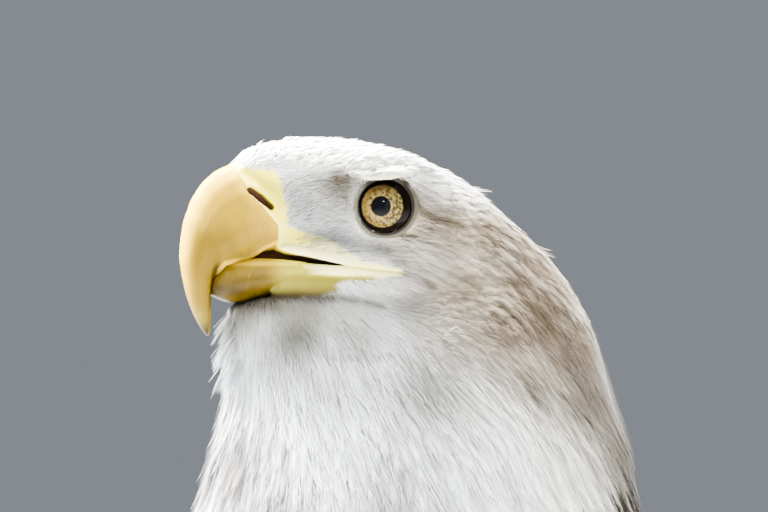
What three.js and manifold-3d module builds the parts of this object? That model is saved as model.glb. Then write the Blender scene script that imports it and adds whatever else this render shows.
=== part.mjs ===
// A bald eagle, life size, standing on the floor with its wings folded and its bill slightly open.
// Millimetres, +Z up. The bird faces -Y and its left side is +X.
// Shapes are laid out in bird terms, (forward, up) from the line through the two eyes, and only the left
// one of each pair is shaped: the right one is its mirror image.

import * as THREE from "three";
import { mergeVertices } from "three/addons/utils/BufferGeometryUtils.js";
import Module from "manifold-3d";

const wasm = await Module();
wasm.setup();

// ---------------------------------------------------------------- driving sizes

const EYE_HEIGHT = 655; // eye line above the floor
const GAP = 0.3; // between neighbouring pieces
const CLEAR = 0.45; // how much a cutter is fatter than its piece, so that GAP is left on slanted faces too

const EYE = { radius: 10, forward: -5.1, side: 17.4 };

// Outline of the body from crown to rump. Each station has a point of the face, throat and breast line, a
// point of the nape and back line, the half width between them, and how far its front narrows.
const BODY = [
  { front: [9, 22.8], back: [5, 22.8], half: 4, narrow: 0 },
  { front: [31, 19.8], back: [-13, 19.8], half: 17, narrow: 0.15 },
  { front: [41.5, 15.2], back: [-27, 15], half: 23.5, narrow: 0.45 },
  { front: [38, 7.5], back: [-42, 7.5], half: 29, narrow: 0.68 },
  { front: [33, -1], back: [-52, -1], half: 32, narrow: 0.8 },
  { front: [30, -12], back: [-66, -12], half: 35, narrow: 0.78 },
  { front: [32, -25], back: [-77, -25], half: 38.5, narrow: 0.74 },
  { front: [41, -35], back: [-86, -38], half: 44, narrow: 0.52 },
  { front: [44.5, -46], back: [-91, -51], half: 48.5, narrow: 0.34 },
  { front: [45.5, -62], back: [-95.5, -67], half: 54.5, narrow: 0.18 },
  { front: [48.5, -82], back: [-99.5, -84], half: 61, narrow: 0.06 },
  { front: [52.5, -101], back: [-101.5, -101], half: 67, narrow: 0 },
  { front: [59, -130], back: [-106, -122], half: 75, narrow: 0 },
  { front: [63, -165], back: [-114, -147], half: 83, narrow: 0 },
  { front: [66, -200], back: [-131, -174], half: 89, narrow: 0 },
  { front: [63, -240], back: [-155, -204], half: 91, narrow: 0 },
  { front: [45, -285], back: [-183, -238], half: 89, narrow: 0 },
  { front: [12, -328], back: [-211, -272], half: 82, narrow: 0 },
  { front: [-40, -364], back: [-238, -304], half: 70, narrow: 0 },
  { front: [-98, -390], back: [-262, -334], half: 57, narrow: 0 },
  { front: [-155, -408], back: [-281, -360], half: 46, narrow: 0 },
  { front: [-200, -420], back: [-296, -382], half: 39, narrow: 0 },
  { front: [-235, -452], back: [-293, -424], half: 33, narrow: 0 },
  { front: [-268, -496], back: [-306, -470], half: 25, narrow: 0 },
  { front: [-297, -534], back: [-322, -514], half: 14, narrow: 0 },
];
// The folded wings follow the body and run on past it to their tips.
const WING_RUN = [
  ...BODY.slice(12, 21),
  { front: [-208, -430], back: [-304, -396], half: 43, narrow: 0 },
  { front: [-262, -486], back: [-338, -446], half: 40, narrow: 0 },
  { front: [-318, -548], back: [-372, -512], half: 37, narrow: 0 },
  { front: [-364, -606], back: [-402, -580], half: 33, narrow: 0 },
];
const NECK_TOP = -38; // where the head is parted from the neck, below the eye line
const NECK_FOOT = -150; // where the neck is parted from the trunk

const BILL = [
  { front: [20, -14], back: [22, 10.5], half: 10.4, narrow: -0.3 },
  { front: [26.5, -14.6], back: [29.5, 12.6], half: 11.2, narrow: -0.3 },
  { front: [31.8, -14.8], back: [37, 14.4], half: 11.6, narrow: -0.3 },
  { front: [36, -16.4], back: [44.4, 13.4], half: 10.2, narrow: -0.28 },
  { front: [40.5, -18], back: [51.2, 9.4], half: 9.4, narrow: -0.24 },
  { front: [44.5, -19.2], back: [56, 3], half: 8.8, narrow: -0.2 },
  { front: [47.3, -20.8], back: [58.9, -4.8], half: 8, narrow: -0.15 },
  { front: [49, -23.4], back: [60.3, -13.5], half: 6.9, narrow: -0.1 },
  { front: [49.9, -27], back: [59.6, -22], half: 5.7, narrow: 0 },
  { front: [50, -31.6], back: [57.6, -30.2], half: 4.4, narrow: 0 },
  { front: [49.9, -37], back: [54.2, -37.8], half: 2.9, narrow: 0 },
  { front: [49.9, -42.6], back: [50.8, -43], half: 1, narrow: 0 },
];
// The feathered base of the bill, in front of the eyes.
const MUZZLE = [
  { front: [-4, -15], back: [-6, 9], half: 19, narrow: 0 },
  { front: [6, -15.5], back: [5, 11.5], half: 15.4, narrow: -0.1 },
  { front: [16, -16], back: [16, 13.6], half: 13.6, narrow: -0.2 },
  { front: [26, -16.2], back: [28.5, 15.6], half: 13.2, narrow: -0.25 },
];
// The feathered chin, which fills the space behind and below the lower bill.
const CHIN = [
  { front: [40, -26], back: [16, -20], half: 7, narrow: 0.4 },
  { front: [44, -31], back: [10, -26], half: 14, narrow: 0.5 },
  { front: [44.6, -39], back: [6, -36], half: 22, narrow: 0.5 },
  { front: [44.2, -52], back: [6, -50], half: 24, narrow: 0.5 },
];
const CERE_EDGE = { top: [40.5, 14], bottom: [27.5, -15.5] }; // where the soft cere meets the horn
const LOWER_BILL = [
  { front: [-2, -31], back: [-2, -20.6], half: 20.5, narrow: 0.25 },
  { front: [12, -29.6], back: [12, -19.4], half: 16.4, narrow: 0.25 },
  { front: [22, -29], back: [24, -18.2], half: 13, narrow: 0.3 },
  { front: [32, -29.8], back: [34, -16.9], half: 10, narrow: 0.3 },
  { front: [42, -31], back: [41, -18.2], half: 8, narrow: 0.25 },
  { front: [46.8, -29.8], back: [46.3, -20.6], half: 5.6, narrow: 0.1 },
  { front: [49, -27.6], back: [49, -24.4], half: 2.4, narrow: 0 },
];
// The fleshy corner of the mouth: centre line (forward, side, up), height and thickness.
const GAPE = [
  { at: [25, 12.9, -17.6], high: 3.2, thick: 2 },
  { at: [17, 15.4, -18.6], high: 4.4, thick: 2.4 },
  { at: [8, 18.6, -19.8], high: 5.2, thick: 2.6 },
  { at: [0, 21.2, -21], high: 5.4, thick: 2.8 },
  { at: [-6, 22.8, -21.6], high: 4.6, thick: 2.8 },
  { at: [-9, 23.2, -21.6], high: 2, thick: 1.4 },
];

const THIGH = [
  { front: [-8, -300], back: [-128, -300], half: 36, narrow: 0 },
  { front: [-16, -350], back: [-148, -350], half: 43, narrow: 0 },
  { front: [-32, -402], back: [-161, -412], half: 41, narrow: 0 },
  { front: [-54, -456], back: [-166, -478], half: 35, narrow: 0 },
  { front: [-75, -508], back: [-162, -532], half: 27, narrow: 0 },
  { front: [-91, -550], back: [-150, -572], half: 19.5, narrow: 0 },
  { front: [-101, -582], back: [-135, -596], half: 13, narrow: 0 },
];
const LEG = { side: 56, foot: -98, splay: 6 }; // where a leg stands, and how far it turns out
const SHANK = [
  { at: [-121, -560], radius: 8.6 },
  { at: [-117, -590], radius: 8.0 },
  { at: [-109, -618], radius: 8.2 },
  { at: [-102, -636], radius: 10.5 },
];
const HUB = { radius: 13.5, up: 11.5 }; // the ball of the foot
const SOLE = 1.2; // how much is cut off the round underside of a toe, so that it stands flat
// Turn from straight ahead, length and radius of each toe, then length and depth of its claw.
const TOES = {
  middle: { turn: 0, length: 74, radius: 8.2, claw: 31, deep: 5.2 },
  inner: { turn: -38, length: 54, radius: 8.4, claw: 37, deep: 6.2 },
  outer: { turn: 36, length: 58, radius: 7.4, claw: 27, deep: 4.6 },
  back: { turn: 176, length: 44, radius: 8.6, claw: 39, deep: 6.6 },
};

const TAIL = { root: [-232, -356], tip: [-392, -624], half: [30, 50], thick: [26, 3.4] };

const COLOURS = {
  white: { color: 0xece8e0, roughness: 0.85 },
  brown: { color: 0x3a2a1e, roughness: 0.8 },
  horn: { color: 0xe0b040, roughness: 0.35 },
  cere: { color: 0xe8d880, roughness: 0.5 },
  leg: { color: 0xe0b838, roughness: 0.6 },
  claw: { color: 0x16130f, roughness: 0.3 },
  iris: { color: 0xcdb27a, roughness: 0.05 },
};
const MATERIALS = Object.fromEntries(
  Object.entries(COLOURS).map(([name, look]) => [
    name,
    new THREE.MeshStandardMaterial({ ...look, metalness: 0 }),
  ]),
);

// ---------------------------------------------------------------- shaping tools

const place = (forward, side, up) => new THREE.Vector3(side, -forward, EYE_HEIGHT + up);

// A closed geometry from rings of points, each ring with as many points as the next. The ends are capped
// with a fan about each end ring's middle.
function skinOver(rings) {
  const count = rings[0].length;
  const points = rings.flat();
  const triangles = [];
  for (let ring = 0; ring + 1 < rings.length; ring++)
    for (let i = 0; i < count; i++) {
      const a = ring * count + i;
      const b = ring * count + ((i + 1) % count);
      triangles.push(a, b, a + count, b, b + count, a + count);
    }
  for (const [first, turned] of [
    [0, true],
    [(rings.length - 1) * count, false],
  ]) {
    const middle = points
      .slice(first, first + count)
      .reduce((sum, p) => sum.add(p), new THREE.Vector3())
      .divideScalar(count);
    points.push(middle);
    for (let i = 0; i < count; i++) {
      const a = first + i;
      const b = first + ((i + 1) % count);
      triangles.push(...(turned ? [b, a, points.length - 1] : [a, b, points.length - 1]));
    }
  }
  return new THREE.BufferGeometry().setFromPoints(points).setIndex(triangles);
}

// A geometry as a solid, whichever way its rings ran.
function solidOf(geometry) {
  const bare = geometry.clone();
  bare.deleteAttribute("normal");
  bare.deleteAttribute("uv");
  const merged = mergeVertices(bare, 1e-4);
  const triVerts = new Uint32Array(merged.index.array);
  const build = () =>
    new wasm.Manifold(
      new wasm.Mesh({
        numProp: 3,
        vertProperties: merged.attributes.position.array,
        triVerts,
      }),
    );
  const solid = build();
  if (solid.volume() > 0) return solid;
  for (let i = 0; i < triVerts.length; i += 3)
    [triVerts[i + 1], triVerts[i + 2]] = [triVerts[i + 2], triVerts[i + 1]];
  return build();
}

const mirrored = (geometry) => geometry.clone().scale(-1, 1, 1);
const both = (geometry) => [solidOf(geometry), solidOf(mirrored(geometry))];
const largest = (solid) => solid.decompose().sort((a, b) => b.volume() - a.volume())[0];
const without = (solid, cutters) => largest(cutters.reduce((rest, c) => rest.subtract(c), solid));

// Two rails through a list of stations: curves of (forward, up, half width) and (forward, up, narrowing).
function railsOf(stations) {
  const curve = (points) => new THREE.CatmullRomCurve3(points, false, "centripetal");
  return {
    count: stations.length - 1,
    front: curve(stations.map((s) => new THREE.Vector3(...s.front, s.half))),
    back: curve(stations.map((s) => new THREE.Vector3(...s.back, s.narrow * 100))),
  };
}

// A point of the egg-shaped ring between two rails. Angle 0 is the front rail and PI the back rail, and
// grow moves the point outwards. A positive narrowing pinches the front, a negative one the back.
function ringPoint(rails, along, angle, grow = 0) {
  const front = rails.front.getPoint(along);
  const back = rails.back.getPoint(along);
  const narrow = back.z / 100;
  const across = new THREE.Vector2(front.x - back.x, front.y - back.y).multiplyScalar(0.5);
  const reach = 1 + grow / across.length();
  const pinch =
    narrow > 0
      ? 1 - narrow * ((1 + Math.cos(angle)) / 2) ** 2
      : 1 + narrow * ((1 - Math.cos(angle)) / 2) ** 2;
  return place(
    (front.x + back.x) / 2 + across.x * reach * Math.cos(angle),
    (front.z * pinch + grow) * Math.sin(angle),
    (front.y + back.y) / 2 + across.y * reach * Math.cos(angle),
  );
}

function railLoft(stations, { sides, steps, grow = 0, side = 0 }) {
  const rails = railsOf(stations);
  const rings = [];
  for (let step = 0; step <= steps; step++) {
    const ring = [];
    for (let i = 0; i < sides; i++) {
      const point = ringPoint(rails, step / steps, (2 * Math.PI * i) / sides, grow);
      point.x += side;
      ring.push(point);
    }
    rings.push(ring);
  }
  return skinOver(rings);
}

// A round tube along a curve, with a radius at each place along it.
function fingerAlong(curve, { sides, steps, radiusAt, grow = 0 }) {
  const rings = [];
  for (let step = 0; step <= steps; step++) {
    const share = step / steps;
    const centre = curve.getPoint(share);
    const ahead = curve.getTangent(share);
    const across = new THREE.Vector3(0, 0, 1).cross(ahead).normalize();
    if (across.lengthSq() < 0.5) across.set(1, 0, 0);
    const above = ahead.clone().cross(across);
    const radius = radiusAt(share) + grow;
    const ring = [];
    for (let i = 0; i < sides; i++) {
      const angle = (2 * Math.PI * i) / sides;
      const point = centre
        .clone()
        .addScaledVector(across, Math.cos(angle) * radius)
        .addScaledVector(above, Math.sin(angle) * radius);
      ring.push(point);
    }
    rings.push(ring);
  }
  return skinOver(rings);
}

// A plate that lies on a run of rings between two angles, which may change along it.
function plateOver(stations, { from, to, low, high, outside, thick, edge, steps, across, grow = 0 }) {
  const rails = railsOf(stations);
  const rings = [];
  for (let step = 0; step <= steps; step++) {
    const share = step / steps;
    const along = (from + (to - from) * share) / rails.count;
    const middle = (low(share) + high(share)) / 2;
    const spread = (high(share) - low(share)) / 2 + grow / 60;
    const outer = [];
    const inner = [];
    for (let i = 0; i <= across; i++) {
      const place01 = (2 * i) / across - 1;
      const angle = middle + spread * place01;
      const depth = edge + (thick(share) - edge) * Math.sqrt(1 - 0.96 * place01 ** 4);
      const out = outside(share);
      outer.push(ringPoint(rails, along, angle, out + grow));
      inner.unshift(ringPoint(rails, along, angle, out - depth - grow));
    }
    rings.push([...outer, ...inner]);
  }
  return skinOver(rings);
}

const ease = (share) => share * share * (3 - 2 * share);
const ramp = (share, from, to) => ease(Math.min(1, Math.max(0, (share - from) / (to - from))));
const mix = (a, b, share) => a + (b - a) * share;
const rounded = (share, nose) => Math.sqrt(Math.max(0, 1 - (1 - Math.min(1, share / nose)) ** 2));
const degrees = THREE.MathUtils.degToRad;

// ---------------------------------------------------------------- wings and tail

// The folded arm with its coverts and the stack of secondaries behind it.
const wing = (grow = 0) =>
  plateOver(WING_RUN, {
    from: 0.25,
    to: 9.2,
    low: (s) => degrees(mix(100, 82, rounded(s, 0.3)) + 16 * ramp(s, 0.5, 1) + 30 * ramp(s, 0.8, 1)),
    high: (s) => degrees(mix(112, 156, rounded(s, 0.22)) + 13 * ramp(s, 0.35, 0.8)),
    outside: (s) => mix(10, 15, rounded(s, 0.2)) - 6 * ease(s),
    thick: (s) => mix(9, 17, rounded(s, 0.2)) - 9 * ease(s),
    edge: 1.6,
    steps: 13,
    across: 6,
    grow,
  });

// The stack of primaries, which shows behind the secondaries.
const wingTip = (grow = 0) =>
  plateOver(WING_RUN, {
    from: 7.2,
    to: 12,
    low: (s) => degrees(mix(88, 102, s) + 20 * ramp(s, 0.7, 1)),
    high: (s) => degrees(mix(150, 146, s) - 12 * ramp(s, 0.8, 1)),
    outside: (s) => mix(-3, 4, s),
    thick: (s) => mix(6, 3, s),
    edge: 1,
    steps: 8,
    across: 3,
    grow,
  });

// The closed tail: a shallow roof that widens to a rounded end.
function tail(grow = 0) {
  const rings = [];
  const steps = 7;
  const across = 6;
  for (let step = 0; step <= steps; step++) {
    const share = step / steps;
    const half = mix(TAIL.half[0], TAIL.half[1], ease(share)) + grow;
    const thick = mix(TAIL.thick[0], TAIL.thick[1], Math.sqrt(share)) / 2 + grow;
    const top = [];
    const bottom = [];
    for (let i = 0; i <= across; i++) {
      const side = (2 * i) / across - 1;
      // The outer feathers are shorter, and the roof falls away to its sides.
      const reach = share * (1 - 0.1 * side * side);
      const forward = mix(TAIL.root[0], TAIL.tip[0], reach);
      const up = mix(TAIL.root[1], TAIL.tip[1], reach) - 8 * side * side;
      const depth = 0.6 + (thick - 0.6) * Math.sqrt(1 - 0.9 * side ** 4);
      top.push(place(forward - depth * 0.86, side * half, up + depth * 0.5));
      bottom.unshift(place(forward + depth * 0.86, side * half, up - depth * 0.5));
    }
    rings.push([...top, ...bottom]);
  }
  return skinOver(rings);
}

// ---------------------------------------------------------------- head parts

function eyeball(grow = 0) {
  return new THREE.SphereGeometry(EYE.radius + grow, 12, 8).applyMatrix4(
    new THREE.Matrix4().setPosition(place(EYE.forward, EYE.side, 0)),
  );
}

// The bony shelf over the eye.
function brow() {
  const shelf = new THREE.SphereGeometry(1, 14, 8).scale(6, 15.5, 3.6);
  shelf.rotateX(degrees(4)).rotateZ(degrees(-17));
  return shelf.applyMatrix4(new THREE.Matrix4().setPosition(place(2.5, 21, 10.4)));
}

function gape(grow = 0) {
  const curve = new THREE.CatmullRomCurve3(
    GAPE.map(({ at: [forward, side, up] }) => place(forward, side, up)),
  );
  const size = (share, key) => {
    const where = share * (GAPE.length - 1);
    const index = Math.min(GAPE.length - 2, Math.floor(where));
    return mix(GAPE[index][key], GAPE[index + 1][key], where - index) / 2 + grow;
  };
  const rings = [];
  const steps = 6;
  const sides = 6;
  for (let step = 0; step <= steps; step++) {
    const centre = curve.getPoint(step / steps);
    const across = new THREE.Vector3(0, 0, 1).cross(curve.getTangent(step / steps)).normalize();
    const thick = size(step / steps, "thick");
    const high = size(step / steps, "high");
    const ring = [];
    for (let i = 0; i < sides; i++) {
      const angle = (2 * Math.PI * i) / sides;
      const point = centre.clone().addScaledVector(across, Math.cos(angle) * thick);
      point.z += Math.sin(angle) * high;
      ring.push(point);
    }
    rings.push(ring);
  }
  return skinOver(rings);
}

// Parts a solid with a thin cut through two (forward, up) points. A cut from front to back returns
// [upper piece, lower piece], and a cut from top to bottom [back piece, front piece].
function partedAt(solid, [forwardA, upA], [forwardB, upB]) {
  const a = place(forwardA, 0, upA);
  const b = place(forwardB, 0, upB);
  const normal = new THREE.Vector3(1, 0, 0).cross(b.clone().sub(a)).normalize();
  const offset = normal.dot(a);
  const towards = solid.trimByPlane(normal.toArray(), offset + GAP / 2);
  const away = solid.trimByPlane(normal.clone().negate().toArray(), -offset + GAP / 2);
  return [towards, away];
}

// ---------------------------------------------------------------- legs and feet

const FLOOR = -EYE_HEIGHT;

function shank(grow = 0) {
  const curve = new THREE.CatmullRomCurve3(
    SHANK.map(({ at: [forward, up] }) => place(forward, LEG.side, up)),
  );
  const radii = SHANK.map((s) => s.radius);
  const radiusAt = (share) => {
    const where = share * (radii.length - 1);
    const index = Math.min(radii.length - 2, Math.floor(where));
    return mix(radii[index], radii[index + 1], where - index);
  };
  return fingerAlong(curve, { sides: 8, steps: 5, radiusAt, grow });
}

function hub(grow = 0) {
  const ball = new THREE.SphereGeometry(HUB.radius + grow, 8, 6);
  ball.applyMatrix4(
    new THREE.Matrix4().setPosition(place(LEG.foot, LEG.side, FLOOR + HUB.up)),
  );
  return ball;
}

const headingOf = (toe) => degrees(toe.turn + LEG.splay);
// A point at a distance from the ball of the foot, along a toe.
const alongToe = (toe, distance, height) =>
  place(
    LEG.foot + Math.cos(headingOf(toe)) * distance,
    LEG.side + Math.sin(headingOf(toe)) * distance,
    FLOOR + height,
  );

function toeSkin(toe, grow = 0) {
  const curve = new THREE.CatmullRomCurve3([
    alongToe(toe, 3, toe.radius),
    alongToe(toe, toe.length * 0.35, toe.radius * 0.9 - SOLE),
    alongToe(toe, toe.length * 0.7, toe.radius * 0.8 - SOLE),
    alongToe(toe, toe.length, toe.radius * 0.72 - SOLE),
  ]);
  const pads = 2;
  const radiusAt = (share) =>
    toe.radius * mix(1, 0.72, share) * (1 + 0.09 * Math.cos(2 * Math.PI * pads * share));
  return fingerAlong(curve, { sides: 7, steps: 5, radiusAt, grow });
}

function clawHorn(toe, grow = 0) {
  const curve = new THREE.CatmullRomCurve3([
    alongToe(toe, toe.length - 5, 8.5),
    alongToe(toe, toe.length + toe.claw * 0.2, 12.5),
    alongToe(toe, toe.length + toe.claw * 0.55, 11.5),
    alongToe(toe, toe.length + toe.claw * 0.74, 6),
    alongToe(toe, toe.length + toe.claw * 0.8, 0.9),
  ]);
  const radiusAt = (share) => mix(toe.deep, 0.4, share ** 1.3);
  return fingerAlong(curve, { sides: 6, steps: 5, radiusAt, grow });
}

// ---------------------------------------------------------------- assembly

const eagle = new THREE.Group();

function meshOf(solid, name, look, side = 1) {
  const { vertProperties, triVerts, numProp } = solid.getMesh();
  const geometry = new THREE.BufferGeometry();
  const points = new THREE.InterleavedBuffer(vertProperties, numProp);
  geometry.setAttribute("position", new THREE.InterleavedBufferAttribute(points, 3, 0));
  geometry.setIndex(new THREE.BufferAttribute(triVerts, 1));
  const mesh = new THREE.Mesh(geometry, MATERIALS[look]);
  mesh.name = name;
  mesh.scale.x = side;
  return mesh;
}

function addPair(solid, name, look) {
  eagle.add(meshOf(solid, `${name}_left`, look));
  eagle.add(meshOf(solid, `${name}_right`, look, -1));
}

function addHeadAndTrunk() {
  const upper = solidOf(railLoft(BILL, { sides: 16, steps: 15 }));
  const upperCutter = solidOf(railLoft(BILL, { sides: 16, steps: 15, grow: CLEAR }));
  const lower = solidOf(railLoft(LOWER_BILL, { sides: 12, steps: 9 }));
  const lowerCutter = solidOf(railLoft(LOWER_BILL, { sides: 12, steps: 9, grow: CLEAR }));
  const [cere, horn] = partedAt(upper, CERE_EDGE.top, CERE_EDGE.bottom);
  eagle.add(meshOf(largest(horn), "bill_upper", "horn"));
  eagle.add(meshOf(without(cere, both(gape(CLEAR))), "cere", "cere"));
  eagle.add(meshOf(without(lower, [upperCutter, ...both(gape(CLEAR))]), "bill_lower", "horn"));
  addPair(solidOf(gape()), "gape", "cere");
  addPair(solidOf(eyeball()), "eye", "iris");

  const whole = solidOf(railLoft(BODY, { sides: 20, steps: 27 }));
  const muzzle = solidOf(railLoft(MUZZLE, { sides: 14, steps: 4 }));
  const chin = solidOf(railLoft(CHIN, { sides: 12, steps: 4 }));
  const headAndRest = [muzzle, chin, ...both(brow())].reduce((sum, lump) => sum.add(lump), whole);
  const [head, below] = partedAt(headAndRest, [60, NECK_TOP], [-110, NECK_TOP]);
  const [neck, trunk] = partedAt(below, [90, NECK_FOOT - 22], [-150, NECK_FOOT + 12]);
  const headCutters = [upperCutter, lowerCutter, ...both(eyeball(CLEAR)), ...both(gape(CLEAR))];
  eagle.add(meshOf(without(head, headCutters), "head", "white"));
  eagle.add(meshOf(without(neck, both(wing(CLEAR))), "neck", "white"));
  const trunkCutters = [wing, thigh, wingTip].flatMap((shape) => both(shape(CLEAR)));
  eagle.add(meshOf(without(trunk, trunkCutters), "trunk", "brown"));
}

function thigh(grow = 0) {
  return railLoft(THIGH, { sides: 12, steps: 8, side: LEG.side, grow });
}

function addWingsAndTail() {
  const arm = solidOf(wing());
  const armCutter = solidOf(wing(CLEAR));
  addPair(arm, "wing", "brown");
  addPair(without(solidOf(wingTip()), [armCutter]), "wing_tip", "brown");
  const body = solidOf(railLoft(BODY, { sides: 20, steps: 27, grow: CLEAR }));
  const cutters = [body, ...[wing, wingTip].flatMap((shape) => both(shape(CLEAR)))];
  eagle.add(meshOf(without(solidOf(tail()), cutters), "tail", "white"));
}

// The floor flattens what would reach below it.
const onFloor = (solid) => solid.trimByPlane([0, 0, 1], 0);

function addLegs() {
  const shankCutter = solidOf(shank(CLEAR));
  const armCutter = solidOf(wing(CLEAR));
  addPair(without(solidOf(thigh()), [shankCutter, armCutter]), "thigh", "brown");
  const root = solidOf(shank()).add(solidOf(hub()));
  addPair(onFloor(root), "shank", "leg");
  const rootCutter = solidOf(shank(CLEAR)).add(solidOf(hub(CLEAR)));
  const middle = solidOf(toeSkin(TOES.middle, CLEAR));
  for (const [name, toe] of Object.entries(TOES)) {
    const cutters = [rootCutter, solidOf(clawHorn(toe, CLEAR))];
    if (name === "inner" || name === "outer") cutters.push(middle);
    addPair(onFloor(without(solidOf(toeSkin(toe)), cutters)), `toe_${name}`, "leg");
    addPair(onFloor(solidOf(clawHorn(toe))), `claw_${name}`, "claw");
  }
}

addHeadAndTrunk();
addWingsAndTail();
addLegs();

// The origin is on the floor, under the middle of the bird's outline seen from above.
const outline = new THREE.Box3().setFromObject(eagle);
const centre = outline.getCenter(new THREE.Vector3());
eagle.position.set(-centre.x, -centre.y, -outline.min.z);

export default eagle;
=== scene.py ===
"""A life-size bald eagle: one skin, horn, eyes, and a coat of feathers laid over it as vanes and barbs.

Shapes are worked out in bird terms, in millimetres: (forward, side, up) from the middle of the eye line,
with side positive on the bird's left. They become metres in the part's own frame when a mesh is made.
"""

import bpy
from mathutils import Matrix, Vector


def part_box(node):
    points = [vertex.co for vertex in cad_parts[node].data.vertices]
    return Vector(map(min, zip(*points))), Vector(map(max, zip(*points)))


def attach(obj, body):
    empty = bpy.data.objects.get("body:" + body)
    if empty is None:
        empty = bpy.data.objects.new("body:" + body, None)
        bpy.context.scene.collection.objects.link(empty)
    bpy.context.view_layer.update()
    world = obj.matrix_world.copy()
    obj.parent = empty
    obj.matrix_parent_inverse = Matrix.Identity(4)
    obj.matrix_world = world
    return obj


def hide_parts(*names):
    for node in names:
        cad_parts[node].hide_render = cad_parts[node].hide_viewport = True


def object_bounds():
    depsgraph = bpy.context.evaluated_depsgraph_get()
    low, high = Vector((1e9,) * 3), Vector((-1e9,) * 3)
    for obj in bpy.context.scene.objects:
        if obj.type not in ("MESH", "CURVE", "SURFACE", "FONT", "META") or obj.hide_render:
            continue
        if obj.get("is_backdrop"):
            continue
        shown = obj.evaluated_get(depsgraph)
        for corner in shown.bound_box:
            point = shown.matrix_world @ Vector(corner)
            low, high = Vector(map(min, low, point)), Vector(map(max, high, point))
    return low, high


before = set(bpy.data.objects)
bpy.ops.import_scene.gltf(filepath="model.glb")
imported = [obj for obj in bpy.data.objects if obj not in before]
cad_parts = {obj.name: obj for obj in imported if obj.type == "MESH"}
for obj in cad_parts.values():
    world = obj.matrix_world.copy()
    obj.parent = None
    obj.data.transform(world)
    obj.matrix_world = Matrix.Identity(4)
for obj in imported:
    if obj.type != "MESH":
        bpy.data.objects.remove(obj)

import copy
import math

import bpy
import numpy as np
import openvdb
from bpy.props import FloatProperty, FloatVectorProperty, IntProperty, PointerProperty
from mathutils import Vector
from mathutils.kdtree import KDTree

bl_info = {
    "name": "Bald eagle",
    "version": (1, 0, 0),
    "blender": (4, 5, 0),
    "location": "3D View > Sidebar > Eagle",
    "description": "Builds a life-size standing bald eagle over its solid frame",
    "category": "Add Mesh",
}

CAD_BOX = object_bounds()

# ------------------------------------------------------------------ bird terms

EYE_LOW, EYE_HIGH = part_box("eye_left")
EYE_RADIUS = (EYE_HIGH.z - EYE_LOW.z) * 500
EYE_SET_BACK = 5.1  # the eyeball's centre lies this far behind the origin of bird terms
EYE_CENTRE = np.array([-EYE_SET_BACK, (EYE_LOW.x + EYE_HIGH.x) * 500, 0.0])
EYE_AXIS = np.array([0.515, 0.857, 0.0])  # square to the opening between the lids
GAZE = np.array([0.605, 0.796, 0.0])  # where the pupil points, a little further forward
ORIGIN = np.array([0.0, (EYE_LOW.y + EYE_HIGH.y) * 500 - EYE_SET_BACK, (EYE_LOW.z + EYE_HIGH.z) * 500])
CREST = CAD_BOX[1][2] * 1000 - ORIGIN[2] - 0.1  # no feather stands higher than this


def to_frame(points):
    """Bird terms in millimetres as metres in the part's frame."""
    forward, side, up = np.moveaxis(np.asarray(points, float), -1, 0)
    return (np.stack([side, -forward, up], -1) + ORIGIN) / 1000


def from_frame(points):
    """Metres in the part's frame as bird terms in millimetres."""
    x, y, z = np.moveaxis(np.asarray(points, float) * 1000 - ORIGIN, -1, 0)
    return np.stack([-y, x, z], -1)


def folded(points):
    """Points with the bird's right half turned over onto the left."""
    return np.column_stack([points[:, 0], np.abs(points[:, 1]), points[:, 2]])


def node_mesh(name):
    """The points of a solid in bird terms, and its triangles."""
    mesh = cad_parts[name].data
    mesh.calc_loop_triangles()
    points = np.empty(len(mesh.vertices) * 3, np.float32)
    mesh.vertices.foreach_get("co", points)
    triangles = np.empty(len(mesh.loop_triangles) * 3, np.int32)
    mesh.loop_triangles.foreach_get("vertices", triangles)
    return from_frame(points.reshape(-1, 3)), triangles.reshape(-1, 3)


def ramp(value, start, end):
    """0 before start and 1 after end, smooth between; start may be the larger."""
    share = np.clip((value - start) / (end - start), 0, 1)
    return share * share * (3 - 2 * share)


def unit(vectors):
    return vectors / np.maximum(np.linalg.norm(vectors, axis=-1, keepdims=True), 1e-9)


def melt(a, b, width):
    """Joins two distances with a fillet."""
    share = np.clip(0.5 + 0.5 * (b - a) / width, 0, 1)
    return b + (a - b) * share - width * share * (1 - share)


def carve(a, b, width):
    """Cuts the second shape out of the first, with a rounded edge."""
    return -melt(-a, b, width)


def blended(base, tone, share):
    """Colours turned towards a tone by a share at each point."""
    return base * (1 - share)[:, None] + np.array(tone) * share[:, None]


def capsules(f, s, u, path):
    """Distance to a chain of round rods; path holds (forward, side, up, radius)."""
    best = None
    for (*a, ra), (*b, rb) in zip(path, path[1:]):
        a, along = np.array(a), np.subtract(b, a)
        reach = ((f - a[0]) * along[0] + (s - a[1]) * along[1] + (u - a[2]) * along[2]) / (along @ along)
        reach = np.clip(reach, 0, 1)
        gap = [f - a[0] - reach * along[0], s - a[1] - reach * along[1], u - a[2] - reach * along[2]]
        one = np.sqrt(gap[0] ** 2 + gap[1] ** 2 + gap[2] ** 2) - (ra + (rb - ra) * reach)
        best = one if best is None else np.minimum(best, one)
    return best


# ------------------------------------------------------------------ distances on a grid


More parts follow.
